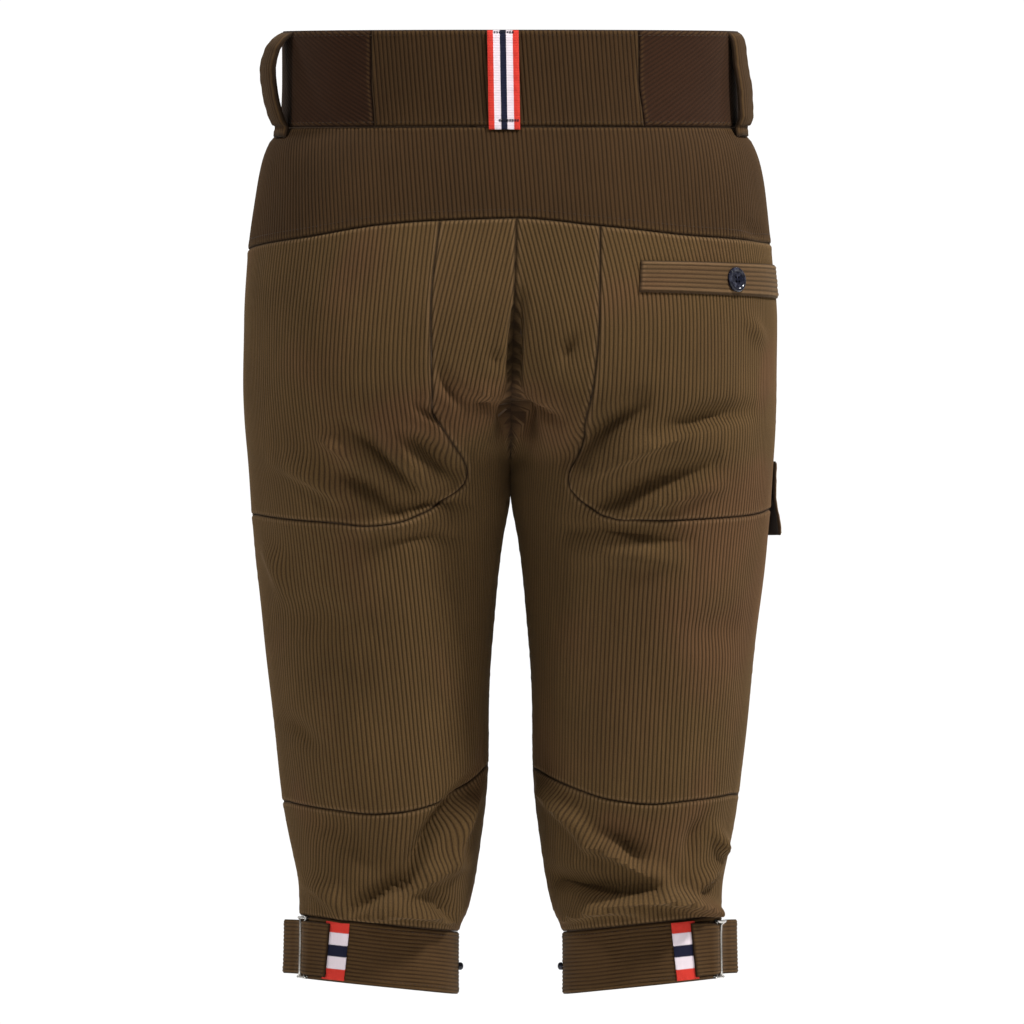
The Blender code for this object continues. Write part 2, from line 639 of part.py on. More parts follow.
def make_front():
    """The fly placket with its curved end, and the waist button."""
    place = PLACKET
    drop = place["turn"] - place["bottom"]
    width = place["sewn"] - place["edge"]
    bend = [(place["edge"] + width * math.cos(t), place["turn"] - drop * math.sin(t))
            for t in np.linspace(0, math.pi / 2, 6)]
    edge = upright(place["edge"], place["top"], place["bottom"])
    sewn = upright(place["sewn"], place["turn"], place["top"])
    outline = joined(edge, bend[::-1], sewn, level(place["top"], place["sewn"], place["edge"]))
    panel("fly_placket", outline, "corduroy", 0, CLOTH, CLOTH + 1.5 * SEAM)
    profile = ((0, 0.8), (BUTTON_RADIUS, 0.8), (BUTTON_RADIUS, 2.6), (8.2, 3.4), (6.6, 2.7), (0, 2.7))
    turned("waist_button", profile, frame_at(-1.94, 0.0), "button")
    at = WELT_BUTTON
    lifted = [(radius, high + 1.7) for radius, high in profile]
    place = frame_at(float(across_at(at["x"], at["height"])), at["height"], -1)
    turned("welt_button", lifted, place, "button")


def bar_loop(name, places, radius, finish, sides=6):
    """A closed loop of round bar through (point, out) places."""
    points = np.array([p for p, _ in places])
    outs = np.array([o for _, o in places])
    ahead = np.roll(points, -1, axis=0) - np.roll(points, 1, axis=0)
    beside = np.cross(outs, ahead)
    beside /= np.linalg.norm(beside, axis=1, keepdims=True)
    angles = np.arange(sides) * 2 * math.pi / sides
    rings = [points + radius * (math.cos(t) * beside + math.sin(t) * outs) for t in angles]
    rings = np.stack(rings, 1)
    count = len(points)
    faces = []
    for i in range(count):
        n = (i + 1) % count
        for k in range(sides):
            m = (k + 1) % sides
            faces.append((i * sides + k, i * sides + m, n * sides + m, n * sides + k))
    return add_mesh(name, rings.reshape(-1, 3), faces, finish)


def make_cuffs():
    """Each leg's cuff, with its strap, striped ribbon, buckle and stud."""
    rows = [CUFF_TOP - SEAM, CUFF_MIDDLE + STRAP_HALF, CUFF_MIDDLE, CUFF_MIDDLE - STRAP_HALF, CUFF_HEM]
    heights = np.array(rows)[:, None]
    for name, side in (("left", 1), ("right", -1)):
        turns = np.arange(30) / 15
        strip(f"cuff_{name}", -side * turns[None], heights, "corduroy", side, CUFF, closed=True)

        table = np.array(STRAP, float)
        across = across_at_angle(side, table[:, 0], CUFF_MIDDLE)
        tall = CUFF_MIDDLE + STRAP_HALF * np.array([1, 0, -1])[:, None]
        strip(f"cuff_strap_{name}", across[None], tall, "corduroy", side, STRAP_CLOTH, table[None, :, 1])

        across = across_at_angle(side, np.array(RIBBON_ANGLES, float), CUFF_MIDDLE)
        tall = CUFF_MIDDLE + RIBBON_HALF * np.array([1, 0, -1])[:, None]
        strip(f"cuff_ribbon_{name}", across[None], tall, "ribbon", side, TRIM, TRIM + SEAM)

        (outer, outer_lift), (inner, inner_lift) = BUCKLE["outer"], BUCKLE["inner"]
        half, round_by = BUCKLE["half"], 0.12
        square = [(outer, 1), (outer, -1), (inner, -1), (inner, 1)]
        places = []
        for (a0, h0), (a1, h1) in zip(square, square[1:] + square[:1]):
            for t in (round_by, 0.5, 1 - round_by) if a0 != a1 else (0.05, 0.35, 0.65, 0.95):
                angle, up = a0 + (a1 - a0) * t, h0 + (h1 - h0) * t
                share = (angle - outer) / (inner - outer)
                place = float(across_at_angle(side, angle, CUFF_MIDDLE))
                point, _, _, out = frame_at(place, CUFF_MIDDLE + up * half, side)
                places.append((point + (outer_lift + (inner_lift - outer_lift) * share) * out, out))
        bar_loop(f"cuff_buckle_{name}", places, BUCKLE["bar"], "steel")

        radius = STUD["radius"]
        place = frame_at(float(across_at_angle(side, STUD["angle"], STUD["height"])), STUD["height"], side)
        profile = ((0, SEAM), (radius * 0.7, SEAM), (radius, 1.2), (radius, 2.6), (radius * 0.6, 3.6), (0, 3.8))
        turned(f"cuff_stud_{name}", profile, place, "button", sides=12)


make_waistband()
make_body()
make_loops()
make_pockets()
make_front()
make_cuffs()
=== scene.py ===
"""The cloth, sewing and fastenings of a pair of corduroy knickerbockers, and the studio that they are seen in.

Every piece of cloth is a closed wall whose outer face carries its wales as real ridges. Lengths are in millimetres
and become metres where a mesh is made. The garment's front faces -Y and its left leg is at +X.
"""

import math

import bmesh
import bpy
import numpy as np
from bpy.props import FloatProperty, StringProperty
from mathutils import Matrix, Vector, kdtree


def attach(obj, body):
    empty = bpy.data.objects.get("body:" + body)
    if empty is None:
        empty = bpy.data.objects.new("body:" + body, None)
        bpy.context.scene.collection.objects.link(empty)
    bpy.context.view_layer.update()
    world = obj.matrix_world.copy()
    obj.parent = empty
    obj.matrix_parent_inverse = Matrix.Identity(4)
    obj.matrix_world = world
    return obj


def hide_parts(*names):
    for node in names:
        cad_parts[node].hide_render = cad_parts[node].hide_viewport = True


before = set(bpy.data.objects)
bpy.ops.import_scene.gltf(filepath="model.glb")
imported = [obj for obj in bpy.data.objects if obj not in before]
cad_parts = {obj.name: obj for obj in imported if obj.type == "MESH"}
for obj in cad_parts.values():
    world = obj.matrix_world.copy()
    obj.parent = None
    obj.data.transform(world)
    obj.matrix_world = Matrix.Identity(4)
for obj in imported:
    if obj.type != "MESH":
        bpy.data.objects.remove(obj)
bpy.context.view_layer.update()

bl_info = {
    "name": "Corduroy knickerbockers",
    "version": (1, 0, 0),
    "blender": (4, 5, 0),
    "location": "View3D > Sidebar > Knickerbockers",
    "description": "Cuts and sews the cloth, sets the fastenings and lights the studio",
    "category": "Object",
}

# Cloth and seams
CLOTH = 1.8
BAND = 2.6
CUFF = 3.0
TRIM = 1.2
SEAM = 0.3
MEETING = 0.03
WAIST_TOP = 35.0
WAIST_SEAM = -34.5
CUFF_TOP = -607.0
CUFF_HEM = -652.0
CUFF_MIDDLE = (CUFF_TOP + CUFF_HEM) / 2
OUTSEAM = math.radians(-6)
QUARTER_GIRTH = 250.0
GAP = SEAM / 2 / QUARTER_GIRTH
# How far a sewn-on piece of cloth or ribbon lies off what it is sewn to, beyond the seam
REST, TRIM_REST = 0.2, 0.15

# One leg tube's cross-sections. The inner reach is below zero where the tube runs past the middle.
SECTION_NAMES = ("height", "side", "inner", "front", "back", "square")
SECTIONS = (
    (60, 164.0, -164.0, -113, 112, 2.2),
    (0, 163.8, -163.4, -114, 115, 2.2),
    (-34, 165.0, -156.0, -116, 118, 2.2),
    (-46, 173.5, -155.0, -118, 122, 2.2),
    (-60, 178.5, -150.0, -119, 127, 2.2),
    (-90, 183.8, -141.0, -121, 136, 2.2),
    (-130, 188.6, -118.0, -122, 144, 2.2),
    (-173, 191.2, -92.0, -121, 148, 2.2),
    (-216, 191.2, -61.0, -118, 146, 2.2),
    (-245, 190.8, -32.0, -114, 139, 2.15),
    (-276, 189.4, 0.0, -108, 128, 2.1),
    (-300, 188.0, 1.2, -104, 119, 2.1),
    (-331, 184.8, 5.9, -100, 111, 2.1),
    (-374, 179.8, 10.4, -95, 103, 2.1),
    (-446, 171.0, 14.8, -89, 90, 2.1),
    (-518, 162.6, 19.0, -83, 79, 2.1),
    (-561, 156.8, 24.6, -75, 72, 2.1),
    (-590, 152.8, 30.8, -63, 69, 2.1),
    (-607, 151.8, 37.4, -50, 67, 2.1),
    (-660, 152.6, 37.6, -47, 64, 2.1),
)
HEIGHTS = np.array([row[0] for row in SECTIONS[::-1]], float)
COLUMNS = {name: np.array([row[i] for row in SECTIONS[::-1]], float) for i, name in enumerate(SECTION_NAMES)}
CUFF_TILT = math.tan(math.radians(5.8))
TILT_FROM = -530.0
SEAM_DRIFT = -4.5
DRIFT_UNTIL = -290.0

# Folds and creases: the ends of each one's line, how far the line bows upward, its width above and below the line,
# its height, which is below zero for a trough, and how far its crest slumps downhill for each millimetre of height
# As (x, height, x, height, bow, above, below, rise, slump)
BACK_FOLDS = (
    (117, -251, 69, -289, 3, 9, 9, -5.0, 0.3), (75, -254, 42, -279, 2, 8, 9, -4.4, 0.4),
    (130, -282, 82, -306, 3, 8, 8, -3.8, 0.3), (169, -274, 122, -298, 4, 11, 9, 3.2, 0.6),
    (66, -233, 47, -246, 1, 3, 4, -2.6, 0.5), (92, -262, 58, -292, 3, 8, 7, 2.4, 0.5),
    (27, -231, 4, -236, 0, 4, 4, -2.6, 0.3), (24, -224, 6, -230, 0, 4, 4, 1.4, 0.3),
    (15, -198, 5, -205, 0, 3, 3, -1.2, 0.2), (-6, -158, -3, -232, 1, 6, 6, -6.0, 0.0),
    (-5, -236, -4, -262, 0, 14, 14, -11.0, 0.0), (137, -257, 118, -270, 2, 6, 6, 2.6, 0.4),
    (50, -210, 32, -232, -2, 4, 5, -2.4, 0.2), (-46, -187, -37, -203, 1, 4, 5, -2.0, 0.2),
    (-165, -104, -186, -116, 1, 4, 5, -1.6, 0.2), (-172, -173, -183, -191, 1, 4, 5, 1.6, 0.2),
    (84, -309, 34, -303, 2, 5, 6, -2.4, 0.3), (84, -331, 40, -328, 2, 6, 7, -2.0, 0.3),
    (128, -324, 66, -319, 2, 5, 8, 1.8, 0.4), (181, -332, 163, -368, 4, 8, 8, 2.6, 0.4),
    (168, -459, 140, -478, 3, 8, 8, -2.0, 0.3), (160, -386, 110, -392, 4, 18, 18, -1.6, 0.2),
    (18, -499, 82, -576, 5, 8, 9, -5.6, 0.3), (68, -570, 112, -596, 2, 5, 6, -3.2, 0.3),
    (12, -492, 44, -560, 5, 5, 6, 3.4, 0.6), (36, -560, 96, -596, 4, 9, 9, 3.6, 0.5),
    (60, -588, 40, -602, 2, 6, 5, -3.0, 0.3), (142, -530, 96, -566, 6, 16, 14, -2.2, 0.2),
    (150, -574, 120, -600, 4, 9, 8, 2.2, 0.4), (104, -600, 36, -604, 6, 11, 5, 4.6, 0.9),
    (-42, -271, -93, -233, 3, 9, 9, -5.2, 0.3), (-103, -254, -172, -238, 3, 9, 9, -3.8, 0.3),
    (-59, -306, -146, -276, 3, 9, 10, -4.8, 0.3), (-48, -287, -128, -252, 4, 9, 8, 3.0, 0.6),
    (-78, -314, -150, -292, 3, 7, 6, 2.2, 0.5), (-8, -235, -36, -244, 1, 4, 5, -2.8, 0.3),
    (-8, -226, -30, -233, 1, 4, 4, 1.6, 0.4), (-42, -323, -126, -331, 3, 7, 8, -2.8, 0.3),
    (-50, -341, -120, -346, 3, 8, 9, 1.8, 0.4), (-19, -504, -58, -548, 4, 7, 9, 4.6, 0.5),
    (-58, -548, -112, -576, 4, 7, 8, 4.2, 0.6), (-70, -538, -102, -568, 2, 7, 7, -3.8, 0.2),
    (-24, -571, -103, -580, -3, 7, 8, -4.6, 0.3), (-62, -590, -150, -600, 9, 8, 3.6, 6.2, 1.1),
    (-38, -602, -96, -597, 6, 7, 5, 3.8, 0.7), (-148, -540, -158, -560, 0, 5, 5, 3.0, 0.5),
    (-140, -532, -126, -560, 2, 8, 8, -2.4, 0.2), (-150, -566, -128, -584, 2, 7, 6, 2.6, 0.4),
    (-168, -395, -120, -402, 4, 18, 18, -1.4, 0.2),
)
FRONT_FOLDS = (
    (42, -256, 112, -224, 6, 10, 11, -4.4, 0.3), (44, -294, 128, -276, 6, 10, 10, -3.6, 0.3),
    (40, -274, 118, -250, 6, 9, 8, 2.6, 0.5), (34, -236, 88, -196, 4, 8, 8, -2.4, 0.3),
    (-40, -254, -104, -218, 6, 10, 11, -4.4, 0.3), (-44, -292, -118, -262, 6, 10, 10, -3.2, 0.3),
    (-38, -272, -108, -242, 6, 8, 8, 2.4, 0.5), (-32, -232, -80, -190, 4, 8, 8, -2.2, 0.3),
    (44, -470, 138, -486, 5, 12, 13, -3.8, 0.3), (52, -496, 126, -506, 4, 10, 10, 2.6, 0.5),
    (58, -446, 150, -452, 4, 14, 14, 1.8, 0.3), (-50, -482, -142, -466, 5, 12, 13, -3.6, 0.3),
    (-56, -502, -128, -492, 4, 10, 10, 2.6, 0.5), (48, -586, 134, -594, 7, 9, 5, 4.6, 0.9),
    (56, -562, 120, -556, 5, 10, 10, -2.6, 0.3), (-46, -592, -130, -584, 7, 9, 5, 4.6, 0.9),
    (-60, -556, -122, -564, 5, 10, 10, -2.6, 0.3),
)
# These make all the folds above narrower and higher, and those below CALF_FROM a little higher still
FOLD_WIDTH, FOLD_HEIGHT, CALF_FOLDS = 0.78, 2.5, 1.2
CALF_FROM = -485
LEAST_WIDTH, MOST_SLUMP = 4.5, 4.5
FOLD_FADE = (0.06, 0.45)

# Long, shallow swells that keep the cloth from being quite smooth: how many lie round half a leg's girth, how
# far apart they are down the leg, where they start and their height
WAVES = ((1, 330, 0.4, 0.8), (2, -260, 2.1, 0.6), (4, 150, 4.0, 0.4), (7, -96, 1.2, 0.22))

# Seams seen from the back, as (x, height)
YOKE_SEAM = (
    (187, -124), (149, -114), (92, -105), (51, -101.5), (-5, -100), (-59, -105), (-136, -113), (-191, -119),
)
SEAT_SEAM_LEFT = (
    (51, -101.5), (57, -166), (56, -230), (50, -247), (42, -261), (35, -271.5), (31.5, -281), (32.5, -287.5),
    (39, -296), (49, -304), (62, -311.5), (78, -316.5), (108, -319), (149, -317.5), (184, -313),
)
SEAT_SEAM_RIGHT = (
    (-64.5, -105.5), (-64, -165), (-60, -218), (-52, -251), (-44.5, -273), (-42, -283), (-43, -292.5),
    (-48.5, -301), (-57, -308.5), (-70, -314.5),
    (-105, -317), (-165, -314), (-186, -309),
)
SEAT_TURN = -290.0
KNEE_SEAM_LEFT = ((160, -519), (127, -525.5), (100, -528), (82, -527), (49, -519), (29, -507), (17, -492))
KNEE_SEAM_RIGHT = ((-17, -495), (-46, -510), (-72, -518), (-102, -521), (-126, -519), (-159, -514))
BAND_BACK = (100, -92)
BAND_LIFT = 0.5
BAND_LAP = (1.93, 1.985, 2.1)

# How each piece's wales lean, in degrees, at a few heights. A wale that leans right going up, seen from
# outside, has a lean above zero.
LEAN = {
    "yoke": ((-34, -4.5), (-120, -4.5)),
    "seat_panel_left": ((-101, 8), (-158, 6), (-202, 2), (-223, -5), (-245, -9), (-266, -12), (-288, -12), (-320, -8)),
    "seat_panel_right": ((-101, -17), (-140, -13), (-160, -5), (-180, 0), (-223, 3), (-250, 8), (-290, 12), (-320, 10)),
    "back_leg_left": ((-101, 13), (-200, 13), (-240, 10), (-262, 2), (-285, -6), (-320, -8), (-350, -6), (-530, -5)),
    "back_leg_right": ((-101, -15), (-158, -14), (-190, -8), (-223, -18), (-245, -20), (-262, -8), (-280, 4),
                       (-300, 9), (-330, 6), (-360, 3), (-530, 2)),
    "calf_left": ((-495, -4), (-540, 5), (-570, 2), (-607, -9)),
    "calf_right": ((-495, 1), (-540, 10), (-575, 4), (-607, -9)),
    "front_leg_left": ((-34, 3), (-200, 5), (-330, 1), (-607, 0)),
    "front_leg_right": ((-34, -3), (-200, -5), (-330, -1), (-607, 0)),
    "waistband": ((35, -4.5), (-35, -4.5)),
}

# Where each back piece's lean is measured: the wales elsewhere keep their distance from this upright line
GRAIN_LINE = {"seat_panel": 110.0, "back_leg": 40.0, "calf": 95.0}

# The band's sides are cut across the cloth: their ribs fall this far for each millimetre along, in degrees
BIAS = 30.0

# Loops, pockets, placket, straps and fastenings, as the solids have them
RIBBON_LOOP = {"x": 4.2, "width": 22.4, "slant": 1.2}
RIBBON_STATIONS = ((34.6, 2.1), (28, 2.9), (8, 3.4), (-14, 3.3), (-30, 2.8), (-37, 2.1))
LOOP_WIDTH = 20.0
LOOP_ANGLE = 12.0
LOOP_BACK = 5.0
LOOP_LEFT = ((34, 2.8), (29, 9.5), (21, 15), (7, 18.3), (-10, 16.5), (-25, 12.5), (-35, 7.5), (-42, 3.2))
LOOP_RIGHT = ((34, 2.8), (28, 6.5), (11, 8.5), (-10, 11.5), (-26, 11.5), (-36, 7.5), (-42, 3.2))
LOOP_FRONT = ((34, 2.8), (28, 3.8), (12, 4.6), (-10, 4.7), (-28, 4.2), (-38, 3.1), (-42, 2.8))
LOOP_FRONT_ACROSS = 1.6
LOOP_FRONT_WIDTH = 14.0
WELT = {"inner_x": -93.2, "outer_angle": 3.0, "top": (-131.0, -133.5), "bottom": (-153.5, -157.5)}
WELT_BUTTON = {"x": -160.5, "height": -144.5}
BUTTON_RADIUS = 9.5
WAIST_BUTTON = -1.94
# How a button's and a stud's top is turned: each step's inset and rise
BUTTON_STEPS = ((0.7, 0.85), (0.9, 0.25), (0.8, -0.3), (0.5, -0.55), (0.6, -0.15))
STUD_STEPS = ((0.25, 0.7), (0.5, 0.55), (0.7, 0.4), (0.6, 0.12))
HOLE = {"radius": 0.95, "out": 2.1}
POCKET = {"start": 13 / 12, "end": 19 / 12, "top": -294.5, "bottom": -414.5, "fullness": 2.5}
FLAP = {"start": 0.97, "end": 1.62, "top": -274.5, "bottom": -327.0, "stand": 4.6, "flare": 1.2, "corner": 1.4}
PLACKET = {"edge": 1.97, "sewn": 2.18, "top": -36.0, "turn": -150.0, "bottom": -192.0}
STRAP_HALF = 19.4
STRAP = (
    (53, 3.9), (47, 3.9), (41, 4.0), (35, 4.9), (30, 4.7), (25, 3.4), (19, 2.4), (13, 2.4), (8, 3.4), (2, 7.0),
    (-6, 11.5), (-15, 13.0), (-25, 11.5), (-36, 8.0), (-47, 4.4), (-56, 2.4), (-66, 2.3), (-76, 2.3),
)
STRAP_CLOTH = LOOP_CLOTH = 2.0
RIBBON_ANGLES = (68, 49)
RIBBON_HALF = 21.0
RIBBON_LEAN = 0.011
BUCKLE = {"outer": (14.0, 3.75), "inner": (32.5, 1.35), "width": 24.0, "half": 21.4, "bar": 1.0, "corner": 4.0}
STUD = {"angle": 176.0, "height": -632.0, "radius": 3.1}


# Curves and sections


def smooth_line(xs, ys, x):
    """A smooth line through the points that never overshoots them."""
    step = np.diff(xs)
    slope = np.diff(ys) / step
    tangent = np.concatenate([slope[:1], np.zeros(len(slope) - 1), slope[-1:]])
    product = slope[:-1] * slope[1:]
    same = product > 0
    tangent[1:-1][same] = 2 * product[same] / (slope[:-1] + slope[1:])[same]
    i = np.clip(np.searchsorted(xs, x) - 1, 0, len(step) - 1)
    t = (x - xs[i]) / step[i]
    start = (1 + 2 * t) * (1 - t) ** 2 * ys[i] + t * (1 - t) ** 2 * step[i] * tangent[i]
    return start + t * t * (3 - 2 * t) * ys[i + 1] + t * t * (t - 1) * step[i] * tangent[i + 1]


def running(steps):
    """Distances along a line from its steps, from 0."""
    return np.concatenate([[0], np.cumsum(steps)])


def ease(value, start, end):
    """0 before start, 1 after end and a smooth step between."""
    t = np.clip((value - start) / (end - start), 0, 1)
    return t * t * (3 - 2 * t)


def unit(vector):
    return vector / np.linalg.norm(vector)


def signed_power(value, power):
    return np.sign(value) * np.abs(value) ** power


def section(height):
    """A tube's centre, half width, middle and half depth, and its exponent."""
    side, inner, front, back, square = (smooth_line(HEIGHTS, COLUMNS[name], height) for name in SECTION_NAMES[1:])
    return (side + inner) / 2, (side - inner) / 2, (front + back) / 2, (back - front) / 2, square


def middle_angle(height):
    """The angle where a tube reaches the middle of the garment, or its inseam below the fork."""
    centre, half, _, _, square = section(height)
    reach = np.clip((MEETING - centre) / half, -1, 1)
    return np.arccos(signed_power(reach, square / 2))


def drift(height):
    """How far the middle of the garment is moved sideways."""
    return SEAM_DRIFT * ease(height, DRIFT_UNTIL, WAIST_SEAM - 40) * (1 - ease(height, WAIST_SEAM, 0))


def tube(side, turn, height):
    """Points on the smooth tube, and their angle. side is 1 for the left leg, turn runs from 0 to 2."""
    centre, half, mid, deep, square = section(height)
    middle = middle_angle(height)
    back = OUTSEAM + (1 - turn) * (middle - OUTSEAM)
    front = OUTSEAM - (turn - 1) * (middle + OUTSEAM)
    angle = np.where(turn <= 1, back, front)
    x = np.maximum(centre + half * signed_power(np.cos(angle), 2 / square), MEETING)
    y = mid + deep * signed_power(np.sin(angle), 2 / square)
    tilt = CUFF_TILT * (1 - ease(height, CUFF_TOP, TILT_FROM))
    z = height + tilt * (x - centre)
    x = side * x + drift(height) * np.maximum(0, 1 - (x / (centre + half)) ** 2)
    return np.stack([x, y, z], -1), angle


def tube_normal(side, turn, height, points):
    """Outward directions from differences, all taken on the same side of the garment."""
    reach = 0.004
    low, high = np.clip(turn - reach, 0, 2), np.clip(turn + reach, 0, 2)
    across = points(side, low, height) - points(side, high, height)
    up = points(side, turn, height + 1) - points(side, turn, height - 1)
    normal = np.cross(across, up) * side[..., None]
    return normal / np.maximum(np.linalg.norm(normal, axis=-1, keepdims=True), 1e-9)


def smooth_points(side, turn, height):
    return tube(side, turn, height)[0]


def fold_shift(x, height, faces_back):
    """How far the folds lift the cloth or let it in, and how far they push it sideways and down."""
    shift = np.zeros((3, *x.shape))
    folds = [(faces_back, *fold) for fold in BACK_FOLDS] + [(~faces_back, *fold) for fold in FRONT_FOLDS]
    for here, x0, z0, x1, z1, bow, above, below, high, slump in folds:
        above, below = (max(width * FOLD_WIDTH, LEAST_WIDTH) for width in (above, below))
        high = high * FOLD_HEIGHT * (CALF_FOLDS if z0 < CALF_FROM else 1)
        slump = min(slump, MOST_SLUMP / abs(high))
        length = math.hypot(x1 - x0, z1 - z0)
        on_x, on_z = (x1 - x0) / length, (z1 - z0) / length
        up_x, up_z = (-on_z, on_x) if on_x > 0 else (on_z, -on_x)
        at = ((x - x0) * on_x + (height - z0) * on_z) / length
        t = np.clip(at, 0, 1)
        off = (x - x0) * up_x + (height - z0) * up_z - bow * np.sin(math.pi * t)
        past = (at - t) * length / max(above, below)
        away = (off / np.where(off > 0, above, below)) ** 2 + past ** 2
        shape = here * (0.35 + 0.65 * np.sin(math.pi * t)) * np.exp(-away)
        shift += np.array([high, -slump * abs(high) * up_x, -slump * abs(high) * up_z])[
            (slice(None), *[None] * x.ndim)] * shape
    return shift


def waves(side, turn, height):
    """The cloth's slight swells, which close up at the seams."""
    around = -side * turn / 2
    swell = sum(high * np.sin(2 * math.pi * (count * around + height / tall) + start)
                for count, tall, start, high in WAVES)
    free = ease(height, WAIST_SEAM, WAIST_SEAM - 45) * ease(height, CUFF_TOP, CUFF_TOP + 35)
    return swell * (0.25 + 0.75 * free)


def cloth_points(side, turn, height):
    """Points on the cloth's outer face, with the folds, which fade where the cloth turns away."""
    points, angle = tube(side, turn, height)
    normal = tube_normal(side, turn, height, smooth_points)
    rise, push_x, push_z = fold_shift(points[..., 0], points[..., 2], np.sin(angle) > 0)
    facing = ease(np.abs(normal[..., 1]), *FOLD_FADE)
    push = np.stack([push_x, np.zeros_like(rise), push_z], -1) * facing[..., None]
    push -= (push * normal).sum(-1, keepdims=True) * normal
    return points + (rise * facing + waves(side, turn, height))[..., None] * normal + push


def cloth(across, height, side=0):
    """Points on the cloth and their outward directions. side is 1 or -1 for a piece of one leg, and 0 for
    a piece that crosses the middle, where the two directions are averaged."""
    across, height = np.broadcast_arrays(np.asarray(across, float), np.asarray(height, float))
    if side:
        own = np.full(across.shape, float(side))
        turn = np.clip(-side * across, 0, 2)
        return cloth_points(own, turn, height), tube_normal(own, turn, height, cloth_points)
    wrapped = (across + 2) % 4 - 2
    own = np.where(wrapped < 0, 1.0, -1.0)
    turn = np.abs(wrapped)
    points = cloth_points(own, turn, height)
    normal = tube_normal(own, turn, height, cloth_points)
    other = tube_normal(-own, turn, height, cloth_points)
    edge = (np.minimum(turn, 2 - turn) < 1e-6)[..., None]
    normal = np.where(edge, normal + other, normal)
    points[edge[..., 0], 0] = drift(height[edge[..., 0]])
    return points, normal / np.linalg.norm(normal, axis=-1, keepdims=True)


def smooth_cloth(across, height, side=0):
    """Points on the cloth without its folds."""
    if side:
        return tube(np.full(across.shape, float(side)), np.clip(-side * across, 0, 2), height)[0]
    wrapped = (across + 2) % 4 - 2
    return tube(np.where(wrapped < 0, 1.0, -1.0), np.abs(wrapped), height)[0]


def across_at(x, height):
    """The place across the back that shows at x."""
    x, height = np.asarray(x, float), np.asarray(height, float)
    centre, half, _, _, square = section(height)
    x = x - drift(height) * np.maximum(0, 1 - (x / (centre + half)) ** 2)
    reach = np.clip((np.abs(x) - centre) / half, -1, 1)
    angle = np.arccos(signed_power(reach, square / 2))
    middle = middle_angle(height)
    return -np.sign(x) * np.clip(1 - (angle - OUTSEAM) / (middle - OUTSEAM), 0, 1)


def across_at_angle(side, degrees, height):
    """The place on one leg at an angle: 0 is its widest line, 90 its back and 180 its inner side."""
    angle = np.radians(degrees)
    middle = middle_angle(height)
    back = 1 - (angle - OUTSEAM) / (middle - OUTSEAM)
    front = 1 + (OUTSEAM - angle) / (middle + OUTSEAM)
    return -side * np.where(angle >= OUTSEAM, back, front)


# Seams


def seam_curve(points, count=240):
    """A smooth curve of (across, height) places through seam points, smooth as it shows near the middle."""
    table = np.array(points, float)
    seen = table[:, 0].copy()
    table[:, 0] = across_at(table[:, 0], table[:, 1])
    along = running(np.hypot(np.diff(table[:, 0]) * QUARTER_GIRTH, np.diff(table[:, 1])))
    at = np.linspace(0, along[-1], count)
    across, height, x = (smooth_line(along, column, at) for column in (*table.T, seen))
    return np.stack([across + ease(np.abs(across), 0.8, 0.5) * (across_at(x, height) - across), height], -1)


def line_at(x):
    """The place across the back of an upright line, by height."""
    return lambda height: across_at(np.full(np.shape(height), float(x)), height)


def constant(value):
    return lambda at: np.full(np.shape(at), float(value))


def read_along(xs, ys, shift=0.0):
    """A function that reads ys at x, from points in either order."""
    order = np.argsort(xs)
    xs, ys = xs[order], ys[order]
    return lambda at: np.interp(at, xs, ys) + shift


def yoke_table():
    table = np.array(YOKE_SEAM, float)
    table[:, 0] = across_at(table[:, 0], table[:, 1])
    table[0, 0], table[-1, 0] = -1, 1
    return table


YOKE = yoke_table()


def yoke_edge(shift):
    return lambda at: smooth_line(YOKE[:, 0], YOKE[:, 1], np.asarray(at, float)) + shift


# Wales and grids


def lookup(table, rows, columns, row, column):
    """Reads between the entries of a table on even rows and columns."""
    i = np.clip((row - rows[0]) / (rows[1] - rows[0]), 0, len(rows) - 1.001)
    j = np.clip((column - columns[0]) / (columns[1] - columns[0]), 0, len(columns) - 1.001)
    i0, j0 = i.astype(int), j.astype(int)
    di, dj = i - i0, j - j0
    upper = table[i0, j0] * (1 - dj) + table[i0, j0 + 1] * dj
    lower = table[i0 + 1, j0] * (1 - dj) + table[i0 + 1, j0 + 1] * dj
    return upper * (1 - di) + lower * di


class Grain:
    """Numbers the wales over a piece, in millimetres round the cloth from a chosen place, and finds a wale's
    place across at any height."""

    def __init__(self, side, left, right, bottom, top, lean, zero, beyond=12):
        self.heights = np.arange(bottom - 12, top + 13, 2.0)
        inside = np.linspace(left, right, 241)
        a, h = np.meshgrid(inside, self.heights)
        steps = np.linalg.norm(np.diff(smooth_cloth(a, h, side), axis=1), axis=-1)
        girth = np.concatenate([np.zeros((len(h), 1)), np.cumsum(steps, 1)], 1)
        extra = np.arange(1, beyond + 1)
        girth = np.concatenate([girth[:, :1] - steps[:, :1] * extra[::-1], girth,
                                girth[:, -1:] + steps[:, -1:] * extra], 1)
        step = inside[1] - inside[0]
        self.across_values = left + step * np.arange(-beyond, 241 + beyond)
        girth -= np.array([[np.interp(z, self.across_values, row)] for z, row in zip(zero(self.heights), girth)])
        table = np.array(sorted(lean), float)
        slope = np.tan(np.radians(np.interp(self.heights, table[:, 0], table[:, 1])))
        slide = running((slope[1:] + slope[:-1]) / 2 * np.diff(self.heights))
        self.numbers = girth - (slide - slide[-1])[:, None]
        self.wales = np.arange(self.numbers.min(), self.numbers.max() + 1.5, 1.5)
        self.places = np.array([np.interp(self.wales, row, self.across_values) for row in self.numbers])

    def number(self, across, height):
        return lookup(self.numbers, self.heights, self.across_values, height, across)

    def across(self, number, height):
        return lookup(self.places, self.heights, self.wales, height, number)


